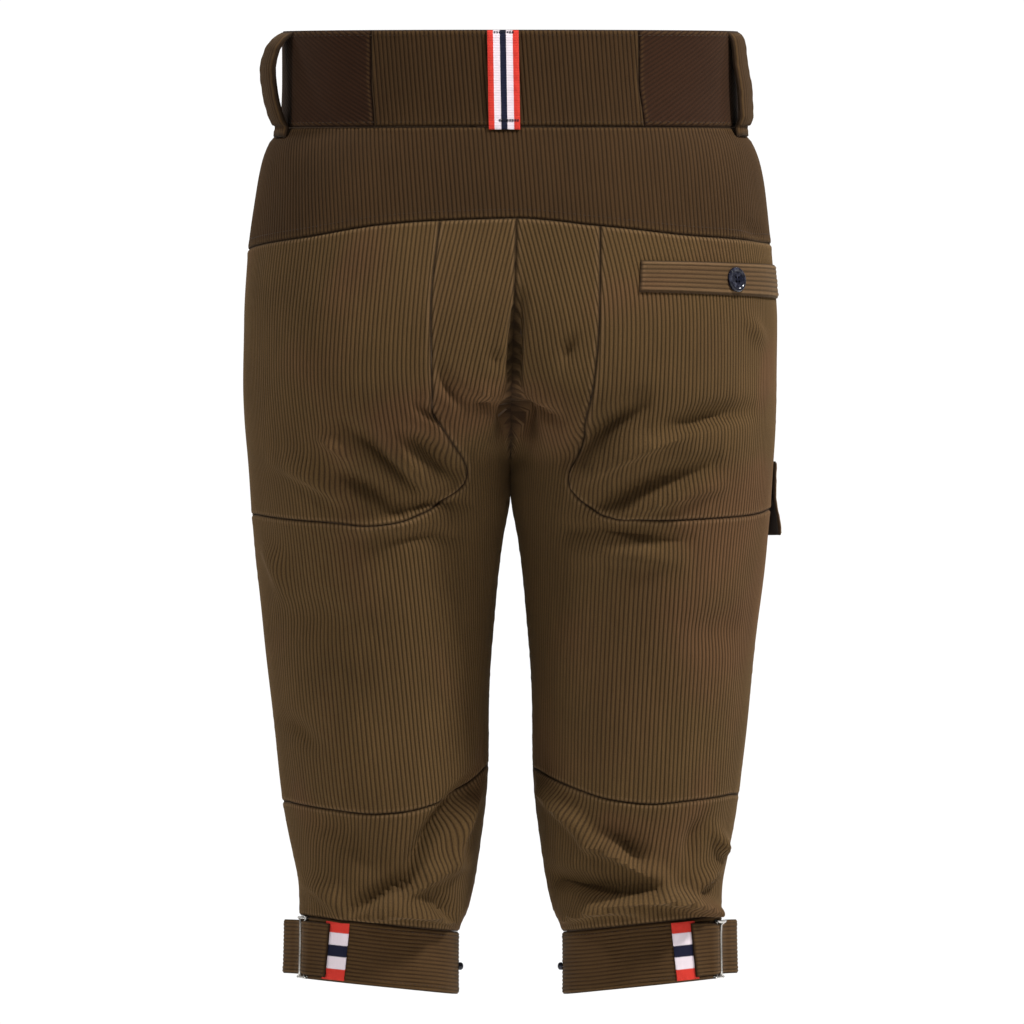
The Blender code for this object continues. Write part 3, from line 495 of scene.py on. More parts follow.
# How high the wales of sewn-on pieces stand where the iron has pressed them, beside those of the panels
PRESSED, CUFF_PRESSED, STRAP_PRESSED = 0.8, 0.85, 0.75
# The waistband's side pieces have slightly finer wales
SIDE_PITCH = 0.9
# How far apart the rows and columns of small pieces are
FINE_STEP = 0.75

FINE_PHASES = (0.0, 0.13, 0.36, 0.64, 0.87)
FRONT_PHASES = (0.0, 0.2, 0.5, 0.8)
SEAM_ROWS = (0.0, 0.5, 1.2, 2.2, 3.6, 5.5)
# How far apart a panel's rows are at the back and at the front, and its inner layer's columns and rows
BACK_ROWS, FRONT_ROWS, INNER_COLUMNS, INNER_ROWS = 4.0, 5.0, 6.4, 7.0


def row_shares(length, step):
    """Shares of the way down for rows that are close near both ends."""
    end = np.array(SEAM_ROWS)
    if length < 2.5 * end[-1]:
        return np.linspace(0, 1, max(3, int(length / 1.5)))
    count = max(2, int(math.ceil((length - 2 * end[-1]) / step)))
    middle = np.linspace(end[-1], length - end[-1], count + 1)[1:-1]
    return np.concatenate([end, middle, length - end[::-1]]) / length


def block(grain, span, top, bottom, left, right, pitch, phases, row_step, extra=()):
    """Places between four edges, in columns that follow the wales, as a grid of (across, height). Where a
    wale runs out at a side edge, its places gather there."""
    places = np.linspace(*span, 80)
    heights = np.linspace(float(bottom(places).min()), float(top(places).max()), 80)
    rim = [grain.number(places, edge(places)) for edge in (top, bottom)]
    rim += [grain.number(edge(heights), heights) for edge in (left, right)]
    rim = np.concatenate(rim)
    first, last = math.floor(rim.min() / pitch) - 1, math.ceil(rim.max() / pitch) + 1
    numbers = np.array(sorted({*[pitch * (k + p) for k in range(first, last + 1) for p in phases], *extra}))
    low = max(0, int(np.searchsorted(numbers, rim.min())) - 1)
    high = int(np.searchsorted(numbers, rim.max())) + 1
    numbers = numbers[low:high + 1]

    def meet(edge):
        height = np.full(len(numbers), float(edge(places).mean()))
        for _ in range(24):
            a = np.clip(grain.across(numbers, height), left(height), right(height))
            height = 0.3 * height + 0.7 * edge(a)
        return height

    start, end = meet(top), meet(bottom)
    shares = row_shares(float(np.median(start - end)), row_step)[:, None]
    height = start + shares * (end - start)
    free = grain.across(np.broadcast_to(numbers, height.shape), height)
    low_side, high_side = left(height), right(height)
    across = np.clip(free, low_side, high_side)
    for r in range(len(height)):
        out = np.nonzero(free[r] <= low_side[r])[0]
        if len(out):
            height[r, :out[-1]] = height[r, out[-1]]
            across[r, :out[-1] + 1] = across[r, out[-1]]
        out = np.nonzero(free[r] >= high_side[r])[0]
        if len(out):
            height[r, out[0] + 1:] = height[r, out[0]]
            across[r, out[0]:] = across[r, out[0]]
    return across, height


def grid_faces(rows, columns, closed=False):
    """Faces of a grid whose rows go down and whose columns go to the right, as seen from outside."""
    i = np.arange(rows - 1)[:, None]
    j = np.arange(columns if closed else columns - 1)[None]
    k = (j + 1) % columns
    return np.stack(np.broadcast_arrays(i * columns + j, (i + 1) * columns + j, (i + 1) * columns + k,
                                        i * columns + k), -1).reshape(-1, 4)


def merge_places(grids):
    """One list of places and faces from several grids, with equal places merged."""
    places, faces, count = [], [], 0
    for across, height in grids:
        places.append(np.stack([across.ravel(), height.ravel()], -1))
        faces.append(grid_faces(*across.shape) + count)
        count += across.size
    places, faces = np.concatenate(places), np.concatenate(faces)
    keys = np.round(places * (QUARTER_GIRTH, 1), 3)
    _, first, back = np.unique(keys, axis=0, return_index=True, return_inverse=True)
    return places[first], clean_faces(back.reshape(-1)[faces])


def clean_faces(faces):
    """Faces without repeated corners, as lists."""
    kept = []
    for face in faces.tolist():
        corners = [v for k, v in enumerate(face) if v != face[k - 1]]
        if len(set(corners)) == len(corners) and len(corners) > 2:
            kept.append(corners)
    return kept


def boundary_loops(faces):
    """The open edges of a mesh as ordered loops of points."""
    edges = {(f[k - 1], f[k]) for f in faces for k in range(len(f))}
    ahead = {a: b for a, b in edges if (b, a) not in edges}
    loops = []
    while ahead:
        start = next(iter(ahead))
        loop = [start]
        step = ahead.pop(start)
        while step != start:
            loop.append(step)
            step = ahead.pop(step)
        loops.append(loop)
    return loops


def zip_loops(outer, inner, points):
    """Triangles that close the rim between an outer and an inner loop of points."""
    positions = points[inner]
    nearest = int(np.linalg.norm(positions - points[outer[0]], axis=1).argmin())
    inner = inner[nearest:] + inner[:nearest]
    inner, outer = inner + inner[:1], outer + outer[:1]
    i = j = 0
    faces = []
    while i < len(outer) - 1 or j < len(inner) - 1:
        go_outer = j == len(inner) - 1
        if not go_outer and i < len(outer) - 1:
            step_outer = np.linalg.norm(points[outer[i + 1]] - points[inner[j]])
            step_inner = np.linalg.norm(points[outer[i]] - points[inner[j + 1]])
            go_outer = step_outer <= step_inner
        if go_outer:
            faces.append((outer[i + 1], outer[i], inner[j]))
            i += 1
        else:
            faces.append((inner[j], inner[j + 1], outer[i]))
            j += 1
    return faces


def search_tree(points):
    tree = kdtree.KDTree(len(points))
    for i, p in enumerate(points):
        tree.insert(p, i)
    tree.balance()
    return tree


def edge_distance(points, loops, reach=9.0):
    """How far each point is from the nearest open edge, and where along that edge, both in millimetres."""
    samples, lengths = [], []
    for loop in loops:
        ring = points[loop + loop[:1]]
        along = running(np.linalg.norm(np.diff(ring, axis=0), axis=1))
        at = np.linspace(0, along[-1], max(8, int(along[-1] / 0.7)))
        samples.append(np.stack([np.interp(at, along, ring[:, k]) for k in range(3)], -1))
        lengths.append(at)
    samples, lengths = np.concatenate(samples), np.concatenate(lengths)
    tree, coarse = search_tree(samples), search_tree(samples[::8])
    away, along = np.full(len(points), 99.0), np.zeros(len(points))
    for i, p in enumerate(points):
        if coarse.find(p)[2] < reach + 3:
            _, k, d = tree.find(p)
            away[i], along[i] = d, lengths[k]
    return away, along


def edge_relief(away, along, depth, width):
    """The cloth's shape beside a seam or edge: it rolls down at the edge, swells over its turned-in part and
    puckers between stitches."""
    roll = -depth * np.exp(-((away / width) ** 2))
    swell = 0.16 * np.exp(-(((away - 3.0) / 2.0) ** 2))
    pucker = 0.15 * np.sin(along * 2 * math.pi / 8.3) + 0.12 * np.sin(along * 2 * math.pi / 13.7 + 1.3)
    return roll + swell + pucker * np.exp(-((away / 5.0) ** 2)) * (1 - np.exp(-((away / 1.2) ** 2)))


def wale_relief(number, pitch, high):
    """A wale's rounded top between narrow grooves, level with the cloth on average."""
    phase = np.abs(2 * (number / pitch % 1) - 1)
    return high * (0.75 - phase ** 3)


def wale_ends(away):
    """Wales end rounded off just before a seam."""
    return 1 - np.exp(-((away / 0.9) ** 2))


# Making pieces


def finished_mesh(name, points, faces, materials, sharp=55.0):
    """A named object from points in millimetres, in the pieces' collection."""
    mesh = bpy.data.meshes.new(name)
    mesh.from_pydata((np.asarray(points) / 1000).tolist(), [], faces)
    for finish in materials:
        mesh.materials.append(finish)
    mesh.shade_smooth()
    mesh.set_sharp_from_angle(angle=math.radians(sharp))
    made = bpy.data.objects.new(name, mesh)
    bpy.context.scene.collection.objects.link(made)
    return made


def give_wales(made, numbers, **levels):
    """The UV map counts wales across and along. The attributes say how pressed and how deep in a seam the
    cloth is; the second sets the painted shade along seams."""
    mesh = made.data
    corner = np.empty(len(mesh.loops), int)
    mesh.loops.foreach_get("vertex_index", corner)
    layer = mesh.uv_layers.new(name="wales")
    layer.data.foreach_set("uv", numbers[corner].astype(np.float32).ravel())
    for name, values in levels.items():
        mesh.attributes.new(name, "FLOAT", "POINT").data.foreach_set("value", values.astype(np.float32))


def keep_middle(points, places, side):
    """Puts a leg piece's edge on the garment's middle, where the other leg's piece meets it."""
    turn = np.abs(places[:, 0])
    smooth = smooth_cloth(*places.T[:2], side)
    meets = (np.minimum(turn, 2 - turn) < 3 * GAP) & (np.abs(smooth[:, 0] - drift(places[:, 1])) < 0.4)
    points[meets, 0] = drift(places[meets, 1])


# Here and eight places about 5 mm round it
AROUND = ((0, 0), (5, 0), (-5, 0), (0, 5), (0, -5), (4, 4), (-4, 4), (4, -4), (-4, -4))


def cloth_wall(name, node, outer, inner, relief, numbers, thick, materials, side=0, lift=None, edge=(0.75, 0.8)):
    """A closed wall of cloth that replaces a CAD node. outer and inner are (places, faces) of the fine outer
    and the plain inner layer. relief and numbers are functions of places: the wales' height, and the wale
    number and way along in wales. lift says how far the outer face lies off the cloth."""
    (places, faces), (inner_places, inner_faces) = outer, inner
    points, normals = cloth(*places.T[:2], side)
    raised = np.zeros(len(places)) if lift is None else lift(places)
    points = points + raised[:, None] * normals
    away, along = edge_distance(points, boundary_loops(faces))
    rise = relief(places) * wale_ends(away) + edge_relief(away, along, *edge)
    shown = points + rise[:, None] * normals
    under, under_normals = cloth(inner_places[:, 0], inner_places[:, 1], side)
    deep = -thick + (0 if lift is None else lift(inner_places))
    under = under + np.broadcast_to(deep, len(under))[:, None] * under_normals
    if lift is None:
        # The plain inner layer spans a narrow trough in one step, so it lies as deep as the cloth does nearby
        def smooth(across, down):
            return smooth_cloth(inner_places[:, 0] + across / QUARTER_GIRTH, inner_places[:, 1] + down, side)

        def stands(across, down):
            a, h = inner_places[:, 0] + across / QUARTER_GIRTH, inner_places[:, 1] + down
            return ((cloth(a, h, side)[0] - smooth(across, down)) * outward).sum(1)

        outward = np.cross(smooth(1, 0) - smooth(-1, 0), smooth(0, 1) - smooth(0, -1))
        outward /= np.maximum(np.linalg.norm(outward, axis=1), 1e-9)[:, None]
        outward *= np.sign((outward * under_normals).sum(1))[:, None]
        near = [stands(*step) for step in AROUND]
        under = under + (np.min(near, axis=0) - near[0])[:, None] * outward
    if side:
        keep_middle(shown, places, side)
        keep_middle(under, inner_places, side)

    count = len(shown)
    everything = np.concatenate([shown, under])
    back = [[v + count for v in reversed(f)] for f in inner_faces]
    inner_loops = [[v + count for v in loop] for loop in boundary_loops(inner_faces)]
    rim = []
    for loop in boundary_loops(faces):
        middle = everything[loop].mean(0)
        partner = min(inner_loops, key=lambda other: np.linalg.norm(everything[other].mean(0) - middle))
        rim += zip_loops(loop, partner, everything)
    made = finished_mesh(name, everything, [*faces, *back, *rim], materials)
    slots = np.zeros(len(made.data.polygons), int)
    slots[len(faces):len(faces) + len(back)] = len(materials) - 1
    made.data.polygons.foreach_set("material_index", slots)
    plain = np.zeros(len(under))
    # The seam level is 1 on the inner layer, so the rims between the layers take painted shade
    give_wales(made, np.concatenate([numbers(places), numbers(inner_places)]),
               wear=np.concatenate([np.exp(-(((away - 2.0) / 1.1) ** 2)), plain]),
               seam=np.concatenate([np.exp(-((away / 0.75) ** 2)), plain + 1]))
    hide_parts(node)
    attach(made, "root")
    return made


def flat_size(grain, places, faces, side):
    """A piece's width across its wales, its length along them and its area, in metres, from its own places."""
    numbers = grain.number(*places.T[:2])
    width = numbers.max() - numbers.min()
    length = places[:, 1].max() - places[:, 1].min()
    return width / 1000, length / 1000, cloth_area(places, faces, side)


def cloth_area(places, faces, side, lift=0.0):
    points, normals = cloth(*places.T[:2], side)
    points = points + np.broadcast_to(lift, len(points))[:, None] * normals
    area = 0.0
    for face in faces:
        a, b, c = points[face[0]], points[face[1]], points[face[2]]
        area += np.linalg.norm(np.cross(b - a, c - a)) / 2
        if len(face) == 4:
            d = points[face[3]]
            area += np.linalg.norm(np.cross(c - a, d - a)) / 2
    return area / 1e6


def declare_sheet(made, width, length, area, held, rests_on=()):
    """Works out the piece's cut, a rectangle never smaller than the piece, and keeps nothing of it."""
    spare = max(1.0, area / (width * length))
    list(rests_on)
    min(area, width * length * spare)


def wale_piece(name, side, span, edges, lean, thick, materials, settings, held="hung", rests_on=(),
               zero=constant(0.0), lift=None, phases=FINE_PHASES, blocks=None, edge=(0.75, 0.8)):
    """A piece cut with its wales running down it. edges are its top, bottom, left and right, or blocks lists
    such edges for a piece that is made of several grids, with the places where their columns must meet."""
    pitch, high = settings.wale_pitch * 1000, settings.wale_height * 1000
    parts = blocks or [(span, *edges, ())]
    lows = [float(np.min(p[2](np.linspace(*p[0], 60)))) for p in parts]
    tops = [float(np.max(p[1](np.linspace(*p[0], 60)))) for p in parts]
    grain = Grain(side, span[0], span[1], min(lows), max(tops), lean, zero)
    layers = []
    row_step = FRONT_ROWS if phases == FRONT_PHASES else BACK_ROWS
    for step, these, rows in ((pitch, phases, row_step), (INNER_COLUMNS, (0.0,), INNER_ROWS)):
        grids = []
        for reach, top, bottom, left, right, joins in parts:
            extra = [float(grain.number(np.array([a]), np.array([h]))[0]) for a, h in joins]
            grids.append(block(grain, reach, top, bottom, left, right, step, these, rows, extra))
        layers.append(merge_places(grids))

    def numbers(places):
        return np.stack([grain.number(*places.T[:2]) / pitch, -places[:, 1] / pitch], -1)

    def relief(places):
        return wale_relief(grain.number(*places.T[:2]), pitch, high)

    made = cloth_wall(name + "_cloth", name, *layers, relief, numbers, thick, materials, side, lift, edge)
    declare_sheet(made, *flat_size(grain, *layers[1], side), held, rests_on)
    return made


def strip_piece(name, side, across, height, thick, lift, materials, numbers, relief, flat, held="stretched",
                rests_on=(), closed=False, edge=(0.5, 1.0), skip=4):
    """A strap, loop, welt, ribbon or cuff over a fine grid of places, with a plain inner layer of every few
    rows and columns. numbers and relief are grids like the places."""
    across, height = np.broadcast_arrays(np.asarray(across, float), np.asarray(height, float))
    rows, columns = across.shape
    lift, relief = np.broadcast_to(lift, across.shape), np.broadcast_to(relief, across.shape)
    pick_rows = sorted({*range(0, rows, skip), rows - 1})
    pick_columns = list(range(0, columns, skip)) if closed else sorted({*range(0, columns, skip), columns - 1})
    picked = np.ix_(pick_rows, pick_columns)
    everything = np.stack([across, height, lift, relief, numbers[0], numbers[1]], -1)
    outer, inner = everything.reshape(-1, 6), everything[picked].reshape(-1, 6)
    layers = ((outer, clean_faces(grid_faces(rows, columns, closed))),
              (inner, clean_faces(grid_faces(len(pick_rows), len(pick_columns), closed))))
    made = cloth_wall(name + "_cloth", name, *layers, lambda p: p[:, 3], lambda p: p[:, 4:6], thick, materials,
                      side, lambda p: p[:, 2], edge)
    declare_sheet(made, *flat, cloth_area(*layers[1], side, layers[1][0][:, 2]), held, rests_on)
    return made


def frame_at(across, height, side=0):
    """The point, and the directions to the right, up and out there."""
    points, normals = cloth(np.array([across]), np.array([height]), side)
    out = normals[0]
    right = unit(np.cross((0, 0, 1), out))
    return points[0], right, np.cross(out, right), out


def in_order(side, *pair):
    """A pair whose first belongs on the left of the left leg, the other way round for the right leg."""
    return pair if side > 0 else pair[::-1]


def to_the_right(*grids):
    """Grids of places and what goes with them, turned so that their columns run to the right."""
    return [grid[:, ::-1] for grid in grids] if grids[0][0, 0] > grids[0][0, -1] else grids


def even(start, end, step):
    """Evenly spaced values from start to end, about a step apart."""
    return np.linspace(start, end, max(2, int(round(abs(end - start) / step)) + 1))


# Finishes


def linear(colour):
    """An sRGB hex colour as linear red, green, blue and alpha."""
    parts = [int(colour[i:i + 2], 16) / 255 for i in (1, 3, 5)]
    return (*[c / 12.92 if c <= 0.04045 else ((c + 0.055) / 1.055) ** 2.4 for c in parts], 1.0)


def add_node(tree, kind, links=(), **settings):
    """Adds a node, sets its sockets and properties, and links it. A settings name of a socket has its spaces
    as underscores, and links are (socket name or number, where from)."""
    made = tree.nodes.new(kind)
    sockets = {socket.name.replace(" ", "_"): socket for socket in reversed(made.inputs)}
    own = {key: value for key, value in settings.items() if hasattr(made, key)}
    for key, value in own.items():
        setattr(made, key, value)
    for key, value in settings.items():
        if key not in own:
            sockets[key].default_value = value
    for socket, source in links:
        tree.links.new(source, made.inputs[socket])
    return made


def new_finish(name):
    made = bpy.data.materials.new(name)
    made.use_nodes = True
    tree = made.node_tree
    return made, tree, tree.nodes["Principled BSDF"]


def object_place(tree):
    return add_node(tree, "ShaderNodeTexCoord").outputs["Object"]


def wale_map(tree):
    return add_node(tree, "ShaderNodeUVMap", uv_map="wales").outputs[0]


def noise(tree, place, scale, detail, **settings):
    return add_node(tree, "ShaderNodeTexNoise", [("Vector", place)], Scale=scale, Detail=detail, **settings).outputs[0]


def dress(tree, shader, body, relief=None, depth=0.0, **constants):
    """Gives a shader its colour, its fine relief and its constant values."""
    tree.links.new(body, shader.inputs["Base Color"])
    if relief is not None:
        bump = add_node(tree, "ShaderNodeBump", [("Height", relief)], Strength=depth, Distance=0.0003).outputs[0]
        tree.links.new(bump, shader.inputs["Normal"])
    for name, value in constants.items():
        shader.inputs[name.replace("_", " ")].default_value = value


def feed(tree, made, values):
    """Links or sets a node's sockets from (socket number, socket or value) pairs."""
    for socket, value in values:
        if hasattr(value, "is_linked"):
            tree.links.new(value, made.inputs[socket])
        else:
            made.inputs[socket].default_value = value


def mixed(tree, share, first, second, blend="MIX"):
    """A colour mix. first and second are sockets or colours."""
    made = add_node(tree, "ShaderNodeMix", data_type="RGBA", blend_type=blend)
    feed(tree, made, ((0, share), (6, first), (7, second)))
    return made.outputs[2]


def sums(tree, operation, *values):
    """A sum, product or other arithmetic of sockets and numbers."""
    made = add_node(tree, "ShaderNodeMath", operation=operation)
    feed(tree, made, enumerate(values))
    return made.outputs[0]


def grey(tree, value):
    return add_node(tree, "ShaderNodeCombineColor", [(k, value) for k in range(3)]).outputs[0]


def spread(tree, value, low, high, to_low=0.0, to_high=1.0):
    return add_node(tree, "ShaderNodeMapRange", [("Value", value)], interpolation_type="SMOOTHSTEP", From_Min=low,
                    From_Max=high, To_Min=to_low, To_Max=to_high).outputs[0]


def corduroy_finish(name, groove_and_shade, crest, worn, warm, per_wale=0.16):
    """Cut-pile cotton corduroy, eight wales to the inch: dark, sharp grooves between soft tops whose brushed
    pile catches light at a slant, with nap patches a hand wide and paler pile where seams press it. The
    grooves' darkness is partly the bare weave's own tone and partly painted shade, and painted shade
    darkens the cloth along seams and cut edges."""
    made, tree, shader = new_finish(name)
    place = object_place(tree)
    wales = wale_map(tree)
    count = add_node(tree, "ShaderNodeSeparateXYZ", [(0, wales)]).outputs[0]
    phase = sums(tree, "ABSOLUTE", sums(tree, "MULTIPLY_ADD", sums(tree, "FRACT", count), 2.0, -1.0))
    in_groove = spread(tree, phase, 0.35, 0.85)

    # Pile tufts are about 0.4 mm; they are drawn at 0.9 mm, drawn out along the wale, so that they show
    tufts = add_node(tree, "ShaderNodeMapping", [(0, wales)], Scale=(3.4, 2.3, 1.0)).outputs[0]
    pile = noise(tree, tufts, 1.6, 3.0, Roughness=0.7)
    # Each wale is a little lighter or darker along its length
    lengths = add_node(tree, "ShaderNodeMapping", [(0, wales)], Scale=(1.0, 0.06, 1.0)).outputs[0]
    shade = noise(tree, lengths, 1.3, 1.0)
    # The nap lies in patches about 60 mm wide, and fades in patches twice as wide
    nap = noise(tree, place, 17.0, 2.0)
    fade = noise(tree, place, 9.0, 1.0, Distortion=0.6)

    body = mixed(tree, spread(tree, pile, 0.25, 0.6, 0.45, 1.0), linear(groove_and_shade), linear(crest))
    body = mixed(tree, sums(tree, "MULTIPLY", spread(tree, fade, 0.5, 0.72), 0.45), body, linear(warm))
    # Painted shade in the wale grooves, over the bare weave's own darker tone
    body = mixed(tree, sums(tree, "MULTIPLY", in_groove, 0.5), body, linear(groove_and_shade))
    light = sums(tree, "ADD", sums(tree, "MULTIPLY_ADD", shade, per_wale * 2, 1.0 - per_wale),
                 sums(tree, "MULTIPLY_ADD", nap, 0.34, -0.17))
    body = mixed(tree, 1.0, body, grey(tree, light), "MULTIPLY")
    wear = add_node(tree, "ShaderNodeAttribute", attribute_name="wear").outputs["Fac"]
    crest_only = sums(tree, "SUBTRACT", 1.0, in_groove)
    body = mixed(tree, sums(tree, "MULTIPLY", sums(tree, "MULTIPLY", wear, crest_only), 0.3), body, linear(worn))
    # Painted shade along seams and on the cloth's cut edges
    seam = add_node(tree, "ShaderNodeAttribute", attribute_name="seam").outputs["Fac"]
    body = mixed(tree, sums(tree, "MULTIPLY", seam, 0.8), body, linear(groove_and_shade))
    dress(tree, shader, body, pile, 0.6, Roughness=0.93, Specular_IOR_Level=0.06, Sheen_Weight=0.05,
          Sheen_Roughness=0.45, Sheen_Tint=linear("#b0946c"))
    return made


def corduroy_back(name, colour, dark):
    """The woven back of corduroy: a flat, close cotton twill without pile, a little paler and greyer."""
    made, tree, shader = new_finish(name)
    wales = wale_map(tree)
    # Twill lines are 0.6 mm apart on the real cloth; they are drawn at 1.3 mm
    lines = add_node(tree, "ShaderNodeTexWave", [("Vector", wales)], Scale=0.78, Distortion=1.4, Detail=2.0,
                     bands_direction="DIAGONAL").outputs[1]
    weave = noise(tree, wales, 4.0, 3.0)
    body = mixed(tree, sums(tree, "MULTIPLY", sums(tree, "ADD", lines, weave), 0.5), linear(dark), linear(colour))
    dress(tree, shader, body, lines, 0.35, Roughness=0.9, Specular_IOR_Level=0.25)
    return made


def ribbon_finish(name, red, white, navy):
    """Ribbed grosgrain ribbon, woven in five stripes: matt, with fine ribs across it and clean, slightly
    stepped edges between the colours. The UV map's first number is millimetres across the ribbon."""
    made, tree, shader = new_finish(name)
    wales = wale_map(tree)
    parts = add_node(tree, "ShaderNodeSeparateXYZ", [(0, wales)])
    # The ribs are 0.8 mm apart; they are drawn at 1.2 mm
    rib = sums(tree, "MULTIPLY_ADD", sums(tree, "SINE", sums(tree, "MULTIPLY", parts.outputs[1], 2 * math.pi / 1.2)),
               0.5, 0.5)
    threads = noise(tree, wales, 1.7, 3.0)
    step = sums(tree, "MULTIPLY_ADD", rib, 0.012, parts.outputs[0])
    ramp = add_node(tree, "ShaderNodeValToRGB", [("Fac", step)])
    stripes = ramp.color_ramp
    stripes.interpolation = "CONSTANT"
    stripes.elements[0].color = linear(red)
    stripes.elements[1].position, stripes.elements[1].color = 0.19, linear(white)
    for position, colour in ((0.4, navy), (0.6, white), (0.81, red)):
        stripes.elements.new(position).color = linear(colour)
    shade = sums(tree, "MULTIPLY_ADD", rib, 0.14, sums(tree, "MULTIPLY_ADD", threads, 0.16, 0.82))
    body = mixed(tree, 1.0, ramp.outputs[0], grey(tree, shade), "MULTIPLY")
    dress(tree, shader, body, rib, 0.5, Roughness=0.8, Specular_IOR_Level=0.1)
    return made


def thread_finish(name, colour, dark):
    """Polyester sewing thread: two plies twisted, with a faint silky gloss along each stitch."""
    made, tree, shader = new_finish(name)
    # The plies' twist is about 0.5 mm long
    twist = noise(tree, object_place(tree), 1800.0, 1.0)
    dress(tree, shader, mixed(tree, twist, linear(dark), linear(colour)), Roughness=0.7, Specular_IOR_Level=0.15)
    return made


def button_finish(name, colour, rubbed):
    """Cast polyester button, polished: deep navy and glossy, with paler clouds in the resin."""
    made, tree, shader = new_finish(name)
    place = object_place(tree)
    # Clouds in the resin are about 3 mm, scratches about 0.3 mm
    clouds = noise(tree, place, 330.0, 3.0)
    scratches = noise(tree, place, 2600.0, 2.0)
    body = mixed(tree, spread(tree, clouds, 0.45, 0.75, 0.0, 0.6), linear(colour), linear(rubbed))
    dress(tree, shader, body, Specular_IOR_Level=0.12, Coat_Weight=0.08, Coat_Roughness=0.08)
    tree.links.new(spread(tree, scratches, 0.3, 0.8, 0.16, 0.34), shader.inputs["Roughness"])
    return made


def steel_finish(name, colour):
    """Nickel-plated steel wire: bright and barely brushed, with tiny dull specks where the plating has worn."""
    made, tree, shader = new_finish(name)
    place = object_place(tree)
    # Worn specks are about 1.5 mm, and polishing lines about 0.4 mm
    specks = noise(tree, place, 700.0, 4.0)
    polish = noise(tree, place, 2400.0, 1.0)
    body = mixed(tree, spread(tree, specks, 0.58, 0.75, 0.0, 0.6), linear(colour), linear("#6f6c67"))
    dress(tree, shader, body, Metallic=1.0)
    tree.links.new(spread(tree, polish, 0.3, 0.7, 0.18, 0.34), shader.inputs["Roughness"])
    return made


def floor_finish(name, colour):
    """Matt studio paper: even, pale and without gloss, with a very faint mottle."""
    made, tree, shader = new_finish(name)
    # The mottle is about 300 mm wide
    mottle = noise(tree, object_place(tree), 3.0, 1.0)
    body = mixed(tree, sums(tree, "MULTIPLY", mottle, 0.05), linear(colour), linear("#e8e8e8"))
    dress(tree, shader, body, Roughness=1.0, Specular_IOR_Level=0.0)
    return made


FINISHES = {}


def finishes():
    """The garment's finishes, made once."""
    if not FINISHES:
        own = bpy.context.scene.knickerbocker_finish
        for key, name, *colours in (
                ("corduroy", "Brushed cotton corduroy", own.crest, own.worn, own.warm),
                # A darker copy of the corduroy for the yoke, the band and the belt loops: painted shade
                ("shaded", "Corduroy with painted shade", own.shaded, own.crest, own.shaded),
                # A darker copy of the corduroy for the cuffs and their straps: painted shade
                ("cuff", "Cuff corduroy", "#3a2916", own.crest, own.shaded),
                # A paler copy of the corduroy for the welt: painted light
                ("light", "Corduroy with painted light", "#443320", own.worn, own.warm),
                # A darker copy of the corduroy for the band's sides: partly the crosswise pile's own tone, partly
                # painted shade
                ("dark", "Painted-shade corduroy cut across", own.band_crest, own.crest, own.band_crest)):
            FINISHES[key] = corduroy_finish(name, own.groove_and_shade, *colours)
        FINISHES["back"] = corduroy_back("Corduroy back", "#40301f", "#2a1e13")
        FINISHES["ribbon"] = ribbon_finish("Striped grosgrain", own.red, own.white, own.navy)
        FINISHES["thread"] = thread_finish("Brown sewing thread", own.thread, own.groove_and_shade)
        FINISHES["tack"] = thread_finish("Navy bar tack", own.navy, "#06070c")
        FINISHES["button"] = button_finish("Navy cast button", "#0a0b14", "#34353f")
        FINISHES["steel"] = steel_finish("Nickel-plated steel", "#96938e")
    return FINISHES


# Sizes and colours that a user may change


class KnickerbockerCloth(bpy.types.PropertyGroup):
    wale_pitch: FloatProperty(name="Wale pitch", description="From one wale to the next", default=0.003175,
                              unit="LENGTH", precision=5)
    wale_height: FloatProperty(name="Wale height", description="How far the pile stands above its grooves",
                               default=0.00062, unit="LENGTH", precision=5)
    cuff_pitch: FloatProperty(name="Cuff wale pitch", description="From one wale to the next on the cuffs",
                              default=0.0028, unit="LENGTH", precision=5)


class KnickerbockerFinish(bpy.types.PropertyGroup):
    crest: StringProperty(name="Pile", description="The wales' colour", default="#43321c")
    # The grooves' colour, which also serves as painted shade in the grooves and along seams
    groove_and_shade: StringProperty(name="Grooves", description="The colour between wales", default="#110a05")
    worn: StringProperty(name="Pressed pile", description="Pile beside seams", default="#5e4a34")
    warm: StringProperty(name="Faded patches", description="The warmer colour of some patches", default="#472f1f")
    # The band sides' pile colour is partly the crosswise pile's own tone, partly painted shade
    band_crest: StringProperty(name="Band sides", description="Pile that is cut across", default="#24140a")
    # The darker pile colour of the yoke, the band and the belt loops is painted shade
    shaded: StringProperty(name="Pile with painted shade", description="Pile of the yoke and the band, whose nap lies away "
                           "from the light", default="#2e1f0f")
    red: StringProperty(name="Red stripe", description="The ribbon's edges", default="#9c271e")
    white: StringProperty(name="White stripe", description="The ribbon's pale stripes", default="#b0a5aa")
    navy: StringProperty(name="Navy", description="The ribbon's middle and the buttons", default="#0c0e20")
    thread: StringProperty(name="Thread", description="The sewing thread", default="#2f2216")


